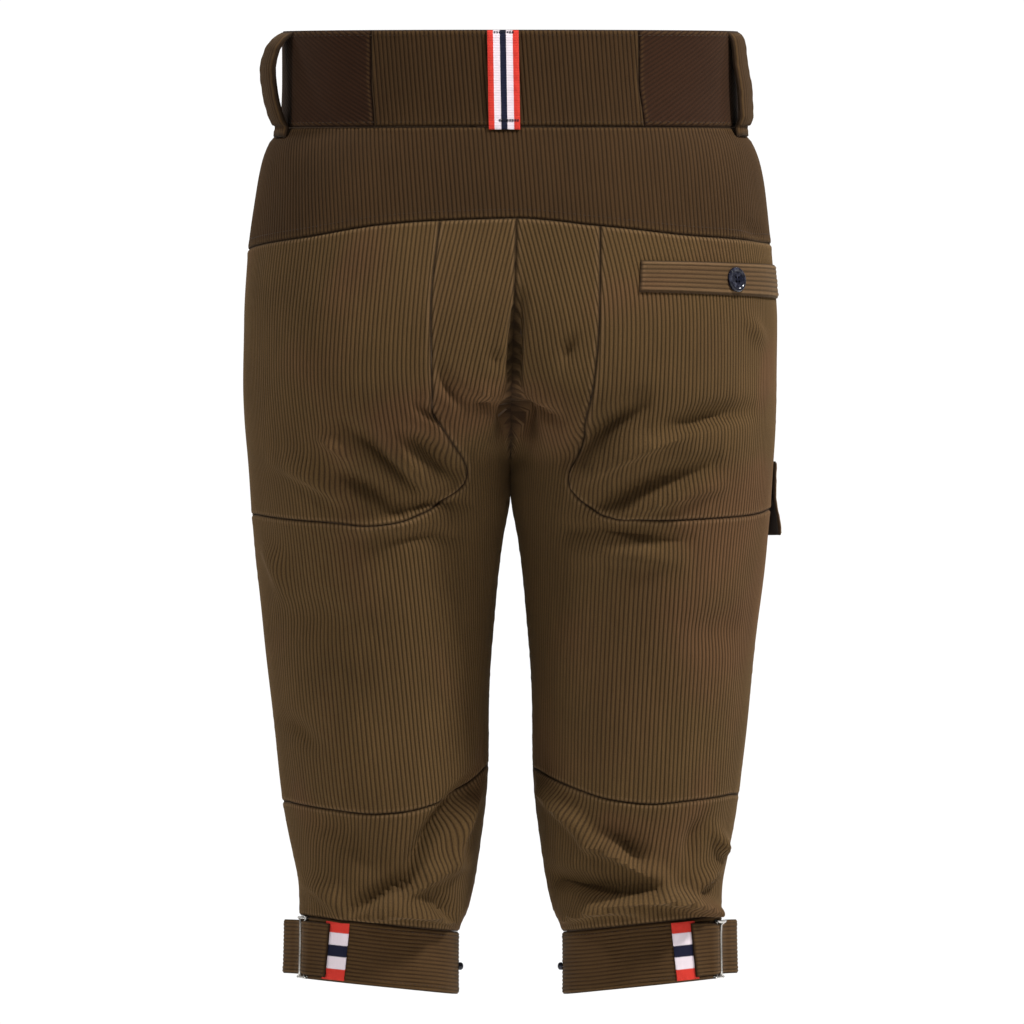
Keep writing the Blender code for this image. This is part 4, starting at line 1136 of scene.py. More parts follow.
class KnickerbockerStudio(bpy.types.PropertyGroup):
    distance: FloatProperty(name="Camera distance", description="From the camera to the garment's middle",
                            default=30.0, unit="LENGTH")
    view_width: FloatProperty(name="View width", description="What the picture takes in, side to side",
                              default=0.7373, unit="LENGTH")
    aim_side: FloatProperty(name="Camera sideways", description="The camera's place from side to side",
                            default=-0.0011, unit="LENGTH", precision=4)
    aim_height: FloatProperty(name="Camera height", description="The camera's height", default=-0.311,
                              unit="LENGTH", precision=4)
    floor: FloatProperty(name="Floor", description="The floor's height", default=-0.9, unit="LENGTH")
    sweep: FloatProperty(name="White sweep", description="How bright the paper behind the garment is", default=1.04)
    room: FloatProperty(name="Room light", description="How bright the rest of the room is", default=0.32)
    key: FloatProperty(name="Main lamps", description="Power of the two lamps on the camera's side", default=232.0,
                       subtype="POWER")
    fill: FloatProperty(name="Far lamps", description="Power of the two lamps on the far side", default=54.0,
                        subtype="POWER")


# The garment's pieces

LEGS = (("left", 1), ("right", -1))


def seat_edges(side):
    """The seat seam of one side, and where along it the seam turns from upright to level."""
    curve = seam_curve(SEAT_SEAM_LEFT if side > 0 else SEAT_SEAM_RIGHT)
    curve[-1, 0] = -side
    return curve, int(np.argmax(curve[:, 1] < SEAT_TURN))


def knee_curve(side):
    curve = seam_curve(KNEE_SEAM_LEFT if side > 0 else KNEE_SEAM_RIGHT, 120)
    ends = (0, -1) if side > 0 else (-1, 0)
    curve[ends[0], 0], curve[ends[1], 0] = -side, 0
    return curve


class NICKERS_OT_waistband(bpy.types.Operator):
    """Cut the waistband in five pieces, the side pieces across the cloth"""
    bl_idname = "knickerbockers.waistband"
    bl_label = "Waistband"

    def execute(self, context):
        own, kit = context.scene.knickerbocker_cloth, finishes()
        left_end, right_end = (float(across_at(x, 0.0)) for x in BAND_BACK)
        top, bottom = WAIST_TOP, WAIST_SEAM + SEAM
        # The band's pieces take the darker corduroy, painted shade
        faces = [kit["shaded"], kit["back"]]

        def upright(name, side, start, end, lift):
            edges = (constant(top), constant(bottom), constant(start), constant(end))
            wale_piece(name, side, (start, end), edges, LEAN["waistband"], BAND, faces, own,
                       "stretched", (), line_at(0) if abs(start + end) < 0.2 else constant((start + end) / 2), lift)

        def even_lift(places):
            return np.full(len(places), BAND_LIFT)

        def lap(places):
            start, down, _ = BAND_LAP
            return BAND_LIFT - (BAND + 1.5 * SEAM) * ease(places[:, 0], start, down)

        upright("waistband_back", 0, left_end + GAP, right_end - GAP, even_lift)
        upright("waistband_front_left", 0, -2 - GAP, -1 - GAP, even_lift)
        upright("waistband_front_right", 0, 1 + GAP, BAND_LAP[2], lap)
        pitch, high = own.wale_pitch * 1000, own.wale_height * 1000
        sides = (("left", -1 + GAP, left_end - GAP, 1), ("right", right_end + GAP, 1 - GAP, -1))
        for name, start, end, turn in sides:
            width = QUARTER_GIRTH * 0.76 * (end - start)
            grid_a = np.linspace(start, end, int(width / FINE_STEP))
            grid_h = np.concatenate([[top, top - 0.5, top - 1.1], even(top - 1.8, bottom + 1.8, FINE_STEP),
                                     [bottom + 1.1, bottom + 0.5, bottom]])
            a, h = np.meshgrid(grid_a, grid_h)
            points = smooth_cloth(a, h)
            round_by = running(np.linalg.norm(np.diff(points[0], axis=0), axis=1))
            tip = math.radians(BIAS)
            number = h * math.cos(tip) + turn * round_by * math.sin(tip)
            fine = pitch * SIDE_PITCH
            relief = wale_relief(number, fine, high * PRESSED)
            along = round_by * math.cos(tip) - turn * h * math.sin(tip)
            # The band's sides take the darker cut-across corduroy, partly painted shade
            strip_piece(f"waistband_side_{name}", 0, a, h, BAND, BAND_LIFT,
                        [kit["dark"], kit["back"]], (number / pitch / SIDE_PITCH, along / pitch), relief,
                        (round_by[-1] / 1000, (top - bottom) / 1000), edge=(0.8, 1.0))
        return {"FINISHED"}


class NICKERS_OT_seat(bpy.types.Operator):
    """Cut the yoke, the two seat panels and the two leg backs"""
    bl_idname = "knickerbockers.seat"
    bl_label = "Seat and leg backs"

    def execute(self, context):
        own, kit = context.scene.knickerbocker_cloth, finishes()
        faces = [kit["corduroy"], kit["back"]]
        half = SEAM / 2
        edges = (constant(WAIST_SEAM - half), yoke_edge(half), constant(-1 + GAP), constant(1 - GAP))
        # The yoke takes the darker corduroy, painted shade
        wale_piece("yoke", 0, (-1, 1), edges, LEAN["yoke"], CLOTH, [kit["shaded"], kit["back"]], own,
                   "hung", ["waistband_back_cloth"], line_at(0))
        for name, side in LEGS:
            curve, toe = seat_edges(side)
            out = -side
            toe_height = curve[toe, 1]
            inner, lower = curve[:toe + 1], curve[toe:]
            to_out = GAP if side > 0 else -GAP
            seat_side = read_along(inner[:, 1], inner[:, 0], -to_out)
            leg_side = read_along(inner[:, 1], inner[:, 0], to_out)
            outer = constant(out + to_out)
            inmost = side * max(side * inner[:, 0])
            span = in_order(side, out, inmost)
            edges = (yoke_edge(-half), read_along(lower[:, 0], lower[:, 1], half), *in_order(side, outer, seat_side))
            wale_piece(f"seat_panel_{name}", side, span, edges, LEAN[f"seat_panel_{name}"], CLOTH,
                       faces, own, "hung", ["yoke_cloth"], line_at(side * GRAIN_LINE["seat_panel"]))

            middle = constant(-to_out)
            toe_edge = float(leg_side(toe_height))
            join = [(toe_edge, toe_height - half)]
            upper = (in_order(side, side * min(side * inner[:, 0]), 0), yoke_edge(-half), constant(toe_height - half),
                     *in_order(side, leg_side, middle), join)
            knee = knee_curve(side)
            below = read_along(lower[:, 0], lower[:, 1], -half)

            def brow(at, below=below, toe_edge=toe_edge, level=toe_height - half, sign=side):
                return np.where(np.asarray(at) * sign < toe_edge * sign, below(at), level)

            full = in_order(side, out, 0)
            under = (full, brow, read_along(knee[:, 0], knee[:, 1], half), *in_order(side, outer, middle), join)
            wale_piece(f"back_leg_{name}", side, full, None, LEAN[f"back_leg_{name}"], CLOTH, faces,
                       own, "hung", ["yoke_cloth"], line_at(side * GRAIN_LINE["back_leg"]), blocks=[upper, under])
        return {"FINISHED"}


class NICKERS_OT_legs(bpy.types.Operator):
    """Cut the two leg fronts and the two calf pieces"""
    bl_idname = "knickerbockers.legs"
    bl_label = "Leg fronts and calves"

    def execute(self, context):
        own, kit = context.scene.knickerbocker_cloth, finishes()
        faces = [kit["corduroy"], kit["back"]]
        half = SEAM / 2
        for name, side in LEGS:
            out = -side
            span = in_order(side, out, 0)
            knee = knee_curve(side)
            edges = (read_along(knee[:, 0], knee[:, 1], -half), constant(CUFF_TOP + half),
                     constant(span[0] + GAP), constant(span[1] - GAP))
            wale_piece(f"calf_{name}", side, span, edges, LEAN[f"calf_{name}"], CLOTH, faces, own,
                       "gathered", [f"back_leg_{name}_cloth"], line_at(side * GRAIN_LINE["calf"]))
            span = in_order(side, 2 * out, out)
            edges = (constant(WAIST_SEAM - half), constant(CUFF_TOP + half), constant(span[0] + GAP),
                     constant(span[1] - GAP))
            wale_piece(f"front_leg_{name}", side, span, edges, LEAN[f"front_leg_{name}"], CLOTH, faces,
                       own, "gathered", [f"waistband_front_{name}_cloth"], constant(1.5 * out),
                       phases=FRONT_PHASES)
        return {"FINISHED"}


def upright_wales(across, height, side):
    """Wale numbers over a small grid, counted round the cloth from its left edge."""
    points = smooth_cloth(across, height, side)
    steps = np.linalg.norm(np.diff(points, axis=1), axis=-1).mean(0)
    number = running(steps)
    return np.broadcast_to(number, across.shape), float(number[-1])


class NICKERS_OT_loops(bpy.types.Operator):
    """Make the four corduroy belt loops and the striped ribbon loop"""
    bl_idname = "knickerbockers.loops"
    bl_label = "Belt loops"

    def loop(self, name, side, place, width, stations, thick, own, kit):
        pitch, high = own.wale_pitch * 1000, own.wale_height * 1000
        table = np.array(stations, float)[::-1]
        heights = even(table[-1, 0], table[0, 0], 1.6)
        lift = smooth_line(table[:, 0], table[:, 1], heights)
        point = frame_at(place, 0.0, side)[0]
        per_mm = 0.01 / np.linalg.norm(frame_at(place + 0.01, 0.0, side)[0] - point)
        away = even(-width / 2 - LOOP_BACK * (side < 0), width / 2 + LOOP_BACK * (side > 0), 0.62)
        a, h = np.meshgrid(place + away * per_mm, heights)
        number = np.broadcast_to(away + pitch / 2, a.shape)
        roll = -2 * np.maximum(0, np.abs(away) / (width / 2) - 0.55) ** 2
        path = running(np.hypot(np.diff(heights), np.diff(lift)))
        # The belt loops take the darker corduroy, painted shade
        strip_piece(name, side, a, h, thick, lift[:, None] + roll, [kit["shaded"], kit["back"]],
                    (number / pitch, np.broadcast_to(path[:, None], a.shape) / pitch),
                    wale_relief(number, pitch, high * PRESSED), ((width + LOOP_BACK) / 1000, path[-1] / 1000), "folded",
                    edge=(0.45, 0.9))

    def execute(self, context):
        own, kit = context.scene.knickerbocker_cloth, finishes()
        for name, side in LEGS:
            stations = LOOP_LEFT if side > 0 else LOOP_RIGHT
            place = float(across_at_angle(side, LOOP_ANGLE, 0.0))
            self.loop(f"belt_loop_side_{name}", side, place, LOOP_WIDTH, stations, LOOP_CLOTH, own, kit)
            self.loop(f"belt_loop_front_{name}", side, -side * LOOP_FRONT_ACROSS, LOOP_FRONT_WIDTH, LOOP_FRONT,
                      CLOTH, own, kit)
        x, width = RIBBON_LOOP["x"], RIBBON_LOOP["width"]
        away = even(-width / 2, width / 2, 0.8)
        table = np.array(RIBBON_STATIONS, float)[::-1]
        heights = even(table[-1, 0], table[0, 0], 1.4)
        lift = smooth_line(table[:, 0], table[:, 1], heights)
        shown_x, h = np.meshgrid(x - away, heights)
        a = across_at(shown_x + RIBBON_LOOP["slant"] * (h - heights[-1]) / (heights[0] - heights[-1]), h)
        strip_piece("belt_loop_back", 0, a, h, TRIM, lift[:, None] + TRIM_REST,
                    [kit["ribbon"]], (np.broadcast_to((away + width / 2) / width, a.shape), -h),
                    0.05 * np.sin(h * 2 * math.pi / 9), (width / 1000, (heights[0] - heights[-1] + 4) / 1000),
                    "stretched", edge=(0.25, 0.7))
        return {"FINISHED"}


class NICKERS_OT_pockets(bpy.types.Operator):
    """Make the welt pocket, the thigh pocket and its flap"""
    bl_idname = "knickerbockers.pockets"
    bl_label = "Pockets"

    def execute(self, context):
        own, kit = context.scene.knickerbocker_cloth, finishes()
        pitch, high = own.wale_pitch * 1000, own.wale_height * 1000
        faces = [kit["corduroy"], kit["back"]]
        start = float(across_at(WELT["inner_x"], WELT["top"][0]))
        end = float(across_at_angle(-1, WELT["outer_angle"], WELT["top"][1]))
        share = np.linspace(0, 1, 90)
        down = np.linspace(0, 1, 36)[:, None]
        top, bottom = (pair[0] + (pair[1] - pair[0]) * share for pair in (WELT["top"], WELT["bottom"]))
        a = np.broadcast_to(start + (end - start) * share, (36, 90))
        h = top + (bottom - top) * down
        tall = float((top - bottom).mean())
        number = np.broadcast_to(down * tall, a.shape)
        length = upright_wales(a, h, -1)[1]
        # The welt takes the paler corduroy, painted light
        strip_piece("welt_pocket", -1, a, h, CLOTH, CLOTH + SEAM + REST, [kit["light"], kit["back"]],
                    (number / pitch, a * QUARTER_GIRTH / pitch), wale_relief(number, pitch, high * PRESSED),
                    (length / 1000, tall / 1000), "folded", edge=(0.7, 1.0))

        for name, place, count in (("thigh_pocket", POCKET, 150), ("thigh_pocket_flap", FLAP, 187)):
            tall = place["top"] - place["bottom"]
            columns = np.linspace(place["start"] + GAP, place["end"] - GAP, count)
            rows = np.concatenate([[0, 0.5, 1.2], even(2, tall - 2, 3.0), [tall - 0.8, tall]])
            share = (columns - columns[0]) / (columns[-1] - columns[0])
            down = (rows / rows[-1])[:, None]
            a, h = np.meshgrid(columns, place["top"] - rows)
            number, width = upright_wales(a, h, -1)
            if place is FLAP:
                close = ease(share, 0.22, 0.04) * (1 - ease(down, 0.42, 1.0))
                stand = FLAP["stand"] * ease(down, 0.3, 0.75) * (1 - 0.95 * close)
                corner = FLAP["corner"] * down * (1 - share) ** 4
                lift = CLOTH + 2 * SEAM + stand + FLAP["flare"] * down + corner + REST
            else:
                full = POCKET["fullness"] * np.sin(math.pi * share) * np.sin(math.pi * (0.15 + 0.85 * down))
                lift = CLOTH + SEAM + full + REST
            strip_piece(name, -1, a, h, CLOTH, lift, faces, (number / pitch, -h / pitch),
                        wale_relief(number, pitch, high), (width / 1000, rows[-1] / 1000), "hung",
                        ["front_leg_right_cloth"])
        return {"FINISHED"}


class NICKERS_OT_placket(bpy.types.Operator):
    """Cut the fly placket with its curved end"""
    bl_idname = "knickerbockers.placket"
    bl_label = "Fly placket"

    def execute(self, context):
        own, kit = context.scene.knickerbocker_cloth, finishes()
        place = PLACKET
        width, drop = place["sewn"] - place["edge"], place["turn"] - place["bottom"]

        def bend(at):
            share = np.clip((np.asarray(at, float) - place["edge"]) / width, 0, 1)
            return place["turn"] - drop * np.sqrt(1 - share ** 2)

        span = (place["edge"], place["sewn"])
        edges = (constant(place["top"]), bend, constant(span[0]), constant(span[1]))
        wale_piece("fly_placket", 0, span, edges, ((0, 0), (-200, 0)), CLOTH,
                   [kit["corduroy"], kit["back"]], own, "hung", ["front_leg_left_cloth"], constant(span[0]),
                   lambda places: np.full(len(places), CLOTH + 1.5 * SEAM + REST), FRONT_PHASES, edge=(0.6, 1.0))
        return {"FINISHED"}


class NICKERS_OT_cuffs(bpy.types.Operator):
    """Make the cuffs, their straps and their striped ribbons"""
    bl_idname = "knickerbockers.cuffs"
    bl_label = "Cuffs, straps and ribbons"

    def execute(self, context):
        own, kit = context.scene.knickerbocker_cloth, finishes()
        pitch, high = own.cuff_pitch * 1000, own.wale_height * 1000
        # The cuffs and straps take the darker cuff corduroy, painted shade
        faces = [kit["cuff"], kit["back"]]
        top = CUFF_TOP - SEAM
        for name, side in LEGS:
            rows = even(0, top - CUFF_HEM, pitch / 5)
            turns = np.arange(132) / 66
            order = turns if side < 0 else -turns
            a, h = np.meshgrid(order, top - rows)
            sag = 0.5 * np.sin(a * 9.0 + side)
            number = rows[:, None] + 0.25 * np.sin(a * 17.0) + np.zeros_like(a)
            girth = float(np.linalg.norm(np.diff(smooth_cloth(a[:1], h[:1], side)[0], axis=0), axis=1).sum())
            along = np.broadcast_to(turns * girth / 2, a.shape)
            if side > 0:
                a, h, number, along, sag = (x[:, ::-1] for x in (a, h, number, along, sag))
            strip_piece(f"cuff_{name}", side, a, h, CUFF, 0.25 * sag, faces,
                        (number / pitch, along / pitch), wale_relief(number, pitch, high * CUFF_PRESSED),
                        (girth / 1000, rows[-1] / 1000), "gathered", [f"calf_{name}_cloth"], True, (0.8, 1.1))

            table = np.array(STRAP, float)[::-1]
            angles = even(table[-1, 0], table[0, 0], 0.7)
            lift = smooth_line(table[:, 0], table[:, 1], angles)
            across = across_at_angle(side, angles, CUFF_MIDDLE)
            tall = even(STRAP_HALF, -STRAP_HALF, pitch / 5)
            a, h = np.meshgrid(across, CUFF_MIDDLE + tall)
            number = np.broadcast_to((tall + STRAP_HALF)[:, None], a.shape)
            wavy = 0.35 * np.sin(angles / 4.2) * np.exp(-((angles - 42) / 16) ** 2)
            points = smooth_cloth(a[:1], h[:1], side)[0]
            steps = np.hypot(np.linalg.norm(np.diff(points, axis=0), axis=1), np.diff(lift))
            path = running(steps)
            along = np.broadcast_to(path, a.shape)
            raised = np.broadcast_to(lift + wavy, a.shape)
            a = a + side * RIBBON_LEAN * ease(angles, 30, 50) * tall[:, None] / STRAP_HALF
            a, h, number, along, raised = to_the_right(a, h, number, along, raised)
            strip_piece(f"cuff_strap_{name}", side, a, h, STRAP_CLOTH, raised, faces,
                        (number / pitch, along / pitch), wale_relief(number, pitch, high * STRAP_PRESSED),
                        (path[-1] / 1000, 2 * STRAP_HALF / 1000), "folded", (), edge=(0.5, 0.9))

            angles = even(*RIBBON_ANGLES, 0.6)
            across = across_at_angle(side, angles, CUFF_MIDDLE)
            tall = even(RIBBON_HALF, -RIBBON_HALF, 0.9)
            a, h = np.meshgrid(across, CUFF_MIDDLE + tall)
            a = a + side * RIBBON_LEAN * tall[:, None] / RIBBON_HALF
            stripe = np.broadcast_to(((RIBBON_HALF - tall) / (2 * RIBBON_HALF))[:, None], a.shape)
            along = np.broadcast_to(angles * 1.7, a.shape)
            a, h, stripe, along = to_the_right(a, h, stripe, along)
            strip_piece(f"cuff_ribbon_{name}", side, a, h, TRIM, TRIM + SEAM + TRIM_REST, [kit["ribbon"]],
                        (stripe, along), 0.0, (0.028, 2 * RIBBON_HALF / 1000), "folded", edge=(0.2, 0.7))
        return {"FINISHED"}


# Hard pieces


def deselect():
    if bpy.context.object and bpy.context.object.mode != "OBJECT":
        bpy.ops.object.mode_set(mode="OBJECT")
    bpy.ops.object.select_all(action="DESELECT")


def pick(made):
    deselect()
    made.select_set(True)
    bpy.context.view_layer.objects.active = made


def finish_hard(made, node, finish, smooth=None):
    """Gives a fastening its material, its smooth shading and its place in the part."""
    made.data.materials.clear()
    made.data.materials.append(finish)
    pick(made)
    if smooth:
        bpy.ops.object.shade_smooth_by_angle(angle=math.radians(smooth))
    else:
        bpy.ops.object.shade_smooth()
    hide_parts(node)
    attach(made, "root")


def choose(mesh_object, wanted):
    """Selects in edit mode the faces whose middle, normal and index the test accepts."""
    mesh = bmesh.from_edit_mesh(mesh_object.data)
    for part in (*mesh.verts, *mesh.edges, *mesh.faces):
        part.select = False
    for face in mesh.faces:
        face.select_set(bool(wanted(face)))
    bmesh.update_edit_mesh(mesh_object.data)


def place_on_cloth(made, place, lift=0.0):
    """Moves a piece made at the origin, in millimetres with its face up +Z, onto the cloth."""
    point, right, up, out = place
    for vertex in made.data.vertices:
        x, y, z = vertex.co
        vertex.co = Vector((point + x * right + y * up + (z + lift) * out) / 1000)
    made.data.update()


def turned_disc(name, radius, steps, sides=48):
    """A round piece from a cylinder whose top is inset and moved: steps are (inset, rise)."""
    deselect()
    bpy.ops.mesh.primitive_cylinder_add(vertices=sides, radius=radius, depth=1.4, location=(0, 0, 0.7))
    made = bpy.context.object
    made.name = name
    bpy.ops.object.transform_apply(location=True, rotation=True, scale=True)
    bpy.ops.object.mode_set(mode="EDIT")
    bpy.ops.mesh.select_mode(type="FACE")
    for inset, rise in steps:
        choose(made, lambda face: face.normal.z > 0.9 and len(face.verts) == sides)
        bpy.ops.mesh.inset(thickness=inset)
        bpy.ops.transform.translate(value=(0, 0, rise))
    choose(made, lambda face: face.normal.z < -0.9 and len(face.verts) == sides)
    bpy.ops.mesh.inset(thickness=0.5)
    bpy.ops.transform.translate(value=(0, 0, -0.25))
    bpy.ops.object.mode_set(mode="OBJECT")
    return made


class NICKERS_OT_buttons(bpy.types.Operator):
    """Turn the two four-hole buttons and the two cuff studs"""
    bl_idname = "knickerbockers.buttons"
    bl_label = "Buttons and studs"

    def button(self, node, place, lift, kit):
        made = turned_disc(f"{node}_turned", BUTTON_RADIUS - 0.5, BUTTON_STEPS)
        for k in range(4):
            turn = math.radians(45 + 90 * k)
            deselect()
            middle = (HOLE["out"] * math.cos(turn), HOLE["out"] * math.sin(turn), 0.5)
            bpy.ops.mesh.primitive_cylinder_add(vertices=14, radius=HOLE["radius"], depth=8, location=middle)
            drill = bpy.context.object
            cut = made.modifiers.new("hole", "BOOLEAN")
            cut.operation, cut.object, cut.solver = "DIFFERENCE", drill, "EXACT"
            pick(made)
            bpy.ops.object.modifier_apply(modifier="hole")
            bpy.data.objects.remove(drill)
        bevel = made.modifiers.new("edges", "BEVEL")
        bevel.width, bevel.segments, bevel.limit_method = 0.16, 2, "ANGLE"
        bpy.ops.object.modifier_apply(modifier="edges")
        place_on_cloth(made, place, lift)
        finish_hard(made, node, kit["button"], 35)

    def execute(self, context):
        kit = finishes()
        self.button("waist_button", frame_at(WAIST_BUTTON, 0.0), 1.0, kit)
        at = WELT_BUTTON
        self.button("welt_button", frame_at(float(across_at(at["x"], at["height"])), at["height"], -1), 2.7, kit)
        for name, side in LEGS:
            place = frame_at(float(across_at_angle(side, STUD["angle"], STUD["height"])), STUD["height"], side)
            made = turned_disc(f"cuff_stud_{name}_turned", STUD["radius"] - 0.3, STUD_STEPS, 24)
            place_on_cloth(made, place, 0.5)
            finish_hard(made, f"cuff_stud_{name}", kit["button"], 40)
        return {"FINISHED"}


class NICKERS_OT_buckles(bpy.types.Operator):
    """Bend the two wire buckles"""
    bl_idname = "knickerbockers.buckles"
    bl_label = "Buckles"

    def wire(self, name, width, height, radius, corner):
        """A closed rectangle of round wire in the XY plane, extruded along its sides and spun round its
        corners."""
        deselect()
        bpy.ops.mesh.primitive_circle_add(vertices=14, radius=radius, fill_type="NOTHING",
                                          location=(-width / 2 + corner, height / 2, 0),
                                          rotation=(0, math.pi / 2, 0))
        made = bpy.context.object
        made.name = name
        bpy.ops.object.transform_apply(location=True, rotation=True, scale=True)
        bpy.ops.object.mode_set(mode="EDIT")
        bpy.ops.mesh.select_mode(type="EDGE")
        bpy.ops.mesh.select_all(action="SELECT")
        sides = (((1, 0), width, (1, -1)), ((0, -1), height, (-1, -1)), ((-1, 0), width, (-1, 1)),
                 ((0, 1), height, (1, 1)))
        x, y = -width / 2 + corner, height / 2
        for (dx, dy), length, (turn_x, turn_y) in sides:
            for _ in range(4):
                step = (length - 2 * corner) / 4
                bpy.ops.mesh.extrude_edges_move(TRANSFORM_OT_translate={"value": (dx * step, dy * step, 0)})
                x, y = x + dx * step, y + dy * step
            centre = (x + (dy and turn_x * corner), y + (dx and turn_y * corner), 0)
            bpy.ops.mesh.spin(steps=6, angle=math.pi / 2, center=centre, axis=(0, 0, -1))
            x, y = x + dx * corner + (dy and turn_x * corner), y + dy * corner + (dx and turn_y * corner)
        bpy.ops.mesh.select_all(action="SELECT")
        bpy.ops.mesh.remove_doubles(threshold=0.01)
        bpy.ops.mesh.normals_make_consistent(inside=False)
        bpy.ops.object.mode_set(mode="OBJECT")
        return made

    def execute(self, context):
        kit = finishes()
        (outer, outer_lift), (inner, inner_lift) = BUCKLE["outer"], BUCKLE["inner"]
        for name, side in LEGS:
            width = BUCKLE["width"]
            made = self.wire(f"cuff_buckle_{name}_wire", width, 2 * BUCKLE["half"], BUCKLE["bar"], BUCKLE["corner"])
            for vertex in made.data.vertices:
                x, y, z = vertex.co
                share = x / width + 0.5
                angle = outer + (inner - outer) * share
                across = float(across_at_angle(side, angle, CUFF_MIDDLE))
                point, _, _, out = frame_at(across, CUFF_MIDDLE + y, side)
                lift = outer_lift + (inner_lift - outer_lift) * min(max(share, 0), 1) + z
                vertex.co = Vector((point + lift * out) / 1000)
            pick(made)
            bpy.ops.object.mode_set(mode="EDIT")
            bpy.ops.mesh.select_all(action="SELECT")
            bpy.ops.mesh.normals_make_consistent(inside=False)
            bpy.ops.object.mode_set(mode="OBJECT")
            finish_hard(made, f"cuff_buckle_{name}", kit["steel"])
        return {"FINISHED"}


# Sewing


def stitch_shape():
    """One stitch of thread along +X, 1 long and 1 across, as points and faces."""
    points = [(-0.5, 0, -0.3)]
    for x, size in ((-0.36, 0.75), (0.0, 1.0), (0.36, 0.75)):
        points += [(x, 0.5 * size * math.cos(t), 0.5 * size * math.sin(t) + 0.1)
                   for t in (0.0, math.pi / 3, 2 * math.pi / 3, math.pi, 3 * math.pi / 2)]
    points.append((0.5, 0, -0.3))
    faces = [(0, 1 + (k + 1) % 5, 1 + k) for k in range(5)]
    for ring in range(2):
        low = 1 + ring * 5
        faces += [(low + k, low + (k + 1) % 5, low + 5 + (k + 1) % 5, low + 5 + k) for k in range(5)]
    faces += [(16, 11 + k, 11 + (k + 1) % 5) for k in range(5)]
    return np.array(points), faces


def stitch_row(places, lift, side=0, length=2.6, gap=1.0, thick=0.55):
    """Stitches along a line of (across, height) places, at a lift off the cloth."""
    places = np.array(places, float)
    points, normals = cloth(*places.T[:2], side)
    points = points + np.broadcast_to(lift, len(points))[:, None] * normals
    along = running(np.linalg.norm(np.diff(points, axis=0), axis=1))
    shape, faces = stitch_shape()
    made_points, made_faces = [], []
    for k in range(int(along[-1] // (length + gap))):
        ends = [(length + gap) * k, (length + gap) * k + length]
        first, last = (np.array([np.interp(at, along, points[:, i]) for i in range(3)]) for at in ends)
        out = np.array([np.interp(sum(ends) / 2, along, normals[:, i]) for i in range(3)])
        ahead = unit(last - first)
        beside = unit(np.cross(out, ahead))
        middle = (first + last) / 2
        placed = (middle + shape[:, :1] * length * ahead + shape[:, 1:2] * thick * beside
                  + shape[:, 2:] * thick * np.cross(ahead, beside))
        made_faces += [tuple(v + len(shape) * len(made_points) for v in f) for f in faces]
        made_points.append(placed)
    return (np.concatenate(made_points), made_faces) if made_points else (np.zeros((0, 3)), [])


def sew(name, rows, finish):
    """All the stitches of one seam or edge as one piece."""
    points, faces = [], []
    for own_points, own_faces in rows:
        base = sum(len(p) for p in points)
        points.append(own_points)
        faces += [tuple(v + base for v in f) for f in own_faces]
    made = finished_mesh(name, np.concatenate(points), faces, [finish])
    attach(made, "root")
    return made


def line(start, end, count=80):
    return np.stack([np.linspace(start[0], end[0], count), np.linspace(start[1], end[1], count)], -1)


class NICKERS_OT_sewing(bpy.types.Operator):
    """Sew the topstitching and the bar tacks"""
    bl_idname = "knickerbockers.sewing"
    bl_label = "Topstitching"

    def execute(self, context):
        kit = finishes()
        band = BAND_LIFT + 0.28
        rows = [stitch_row(line((-1.98, h), (1.9, h), 700), band) for h in (WAIST_SEAM + 3.2, WAIST_TOP - 4.0)]
        sew("waistband_topstitching", rows, kit["thread"])
        table = np.linspace(-0.985, 0.985, 400)
        above = yoke_edge(6.2)(table)
        sew("yoke_topstitching", [stitch_row(np.stack([table, above], -1), 0.32)], kit["thread"])
        rows = []
        for _, side in LEGS:
            start, end = -side * 0.004, -side * 1.996
            rows += [stitch_row(line((start, h), (end, h), 300), 0.3, side) for h in (CUFF_TOP - 3.6, CUFF_HEM + 4.2)]
        sew("cuff_topstitching", rows, kit["thread"])
        place = PLACKET
        width, drop = place["sewn"] - place["edge"], place["turn"] - place["bottom"]
        bend = [(place["edge"] + (width - 0.03) * math.cos(t), place["turn"] - (drop - 6) * math.sin(t))
                for t in np.linspace(0, math.pi / 2, 60)]
        lift = CLOTH + 1.5 * SEAM + 0.45
        rows = [stitch_row([(place["sewn"] - 0.03, place["top"] - 3)] + bend, lift)]
        start, end = FLAP["start"] + 0.02, FLAP["end"] - 0.02
        lift = CLOTH + 2 * SEAM + FLAP["stand"] + FLAP["flare"] + 0.55
        rows.append(stitch_row(line((start, FLAP["bottom"] + 5), (end, FLAP["bottom"] + 5), 120), lift, -1))
        start, end = POCKET["start"] + 0.018, POCKET["end"] - 0.018
        edge = CLOTH + SEAM + 0.5
        for across in (start, end):
            rows.append(stitch_row(line((across, FLAP["bottom"] - 4), (across, POCKET["bottom"] + 5), 60), edge, -1))
        rows.append(stitch_row(line((start, POCKET["bottom"] + 5), (end, POCKET["bottom"] + 5), 60), edge + 0.3, -1))
        sew("front_topstitching", rows, kit["thread"])
        x, half = RIBBON_LOOP["x"], RIBBON_LOOP["width"] / 2 - 3.2
        rows = []
        for height, lift in ((33.0, 2.45), (-30.5, 2.95)):
            for shift in (-0.45, 0.45):
                ends = [(float(across_at(x + k * half, 0.0)), height + shift) for k in (1, -1)]
                rows.append(stitch_row(line(*ends, 12), lift + 0.12, 0, 1.7, 0.15, 0.6))
        sew("ribbon_bar_tacks", rows, kit["tack"])
        return {"FINISHED"}


# The studio, in metres

LAMP_HEIGHT, LAMP_SIZE = 2.2, 0.4
DIMMER_LEFT = 0.32
FLOOR_SIZE = 15
# The camera's sensor, in millimetres
SENSOR = 36
# Along Y, the surroundings are white before the first of these directions and as dim as the room after the second
SWEEP_EDGE = (-0.85, -0.35)


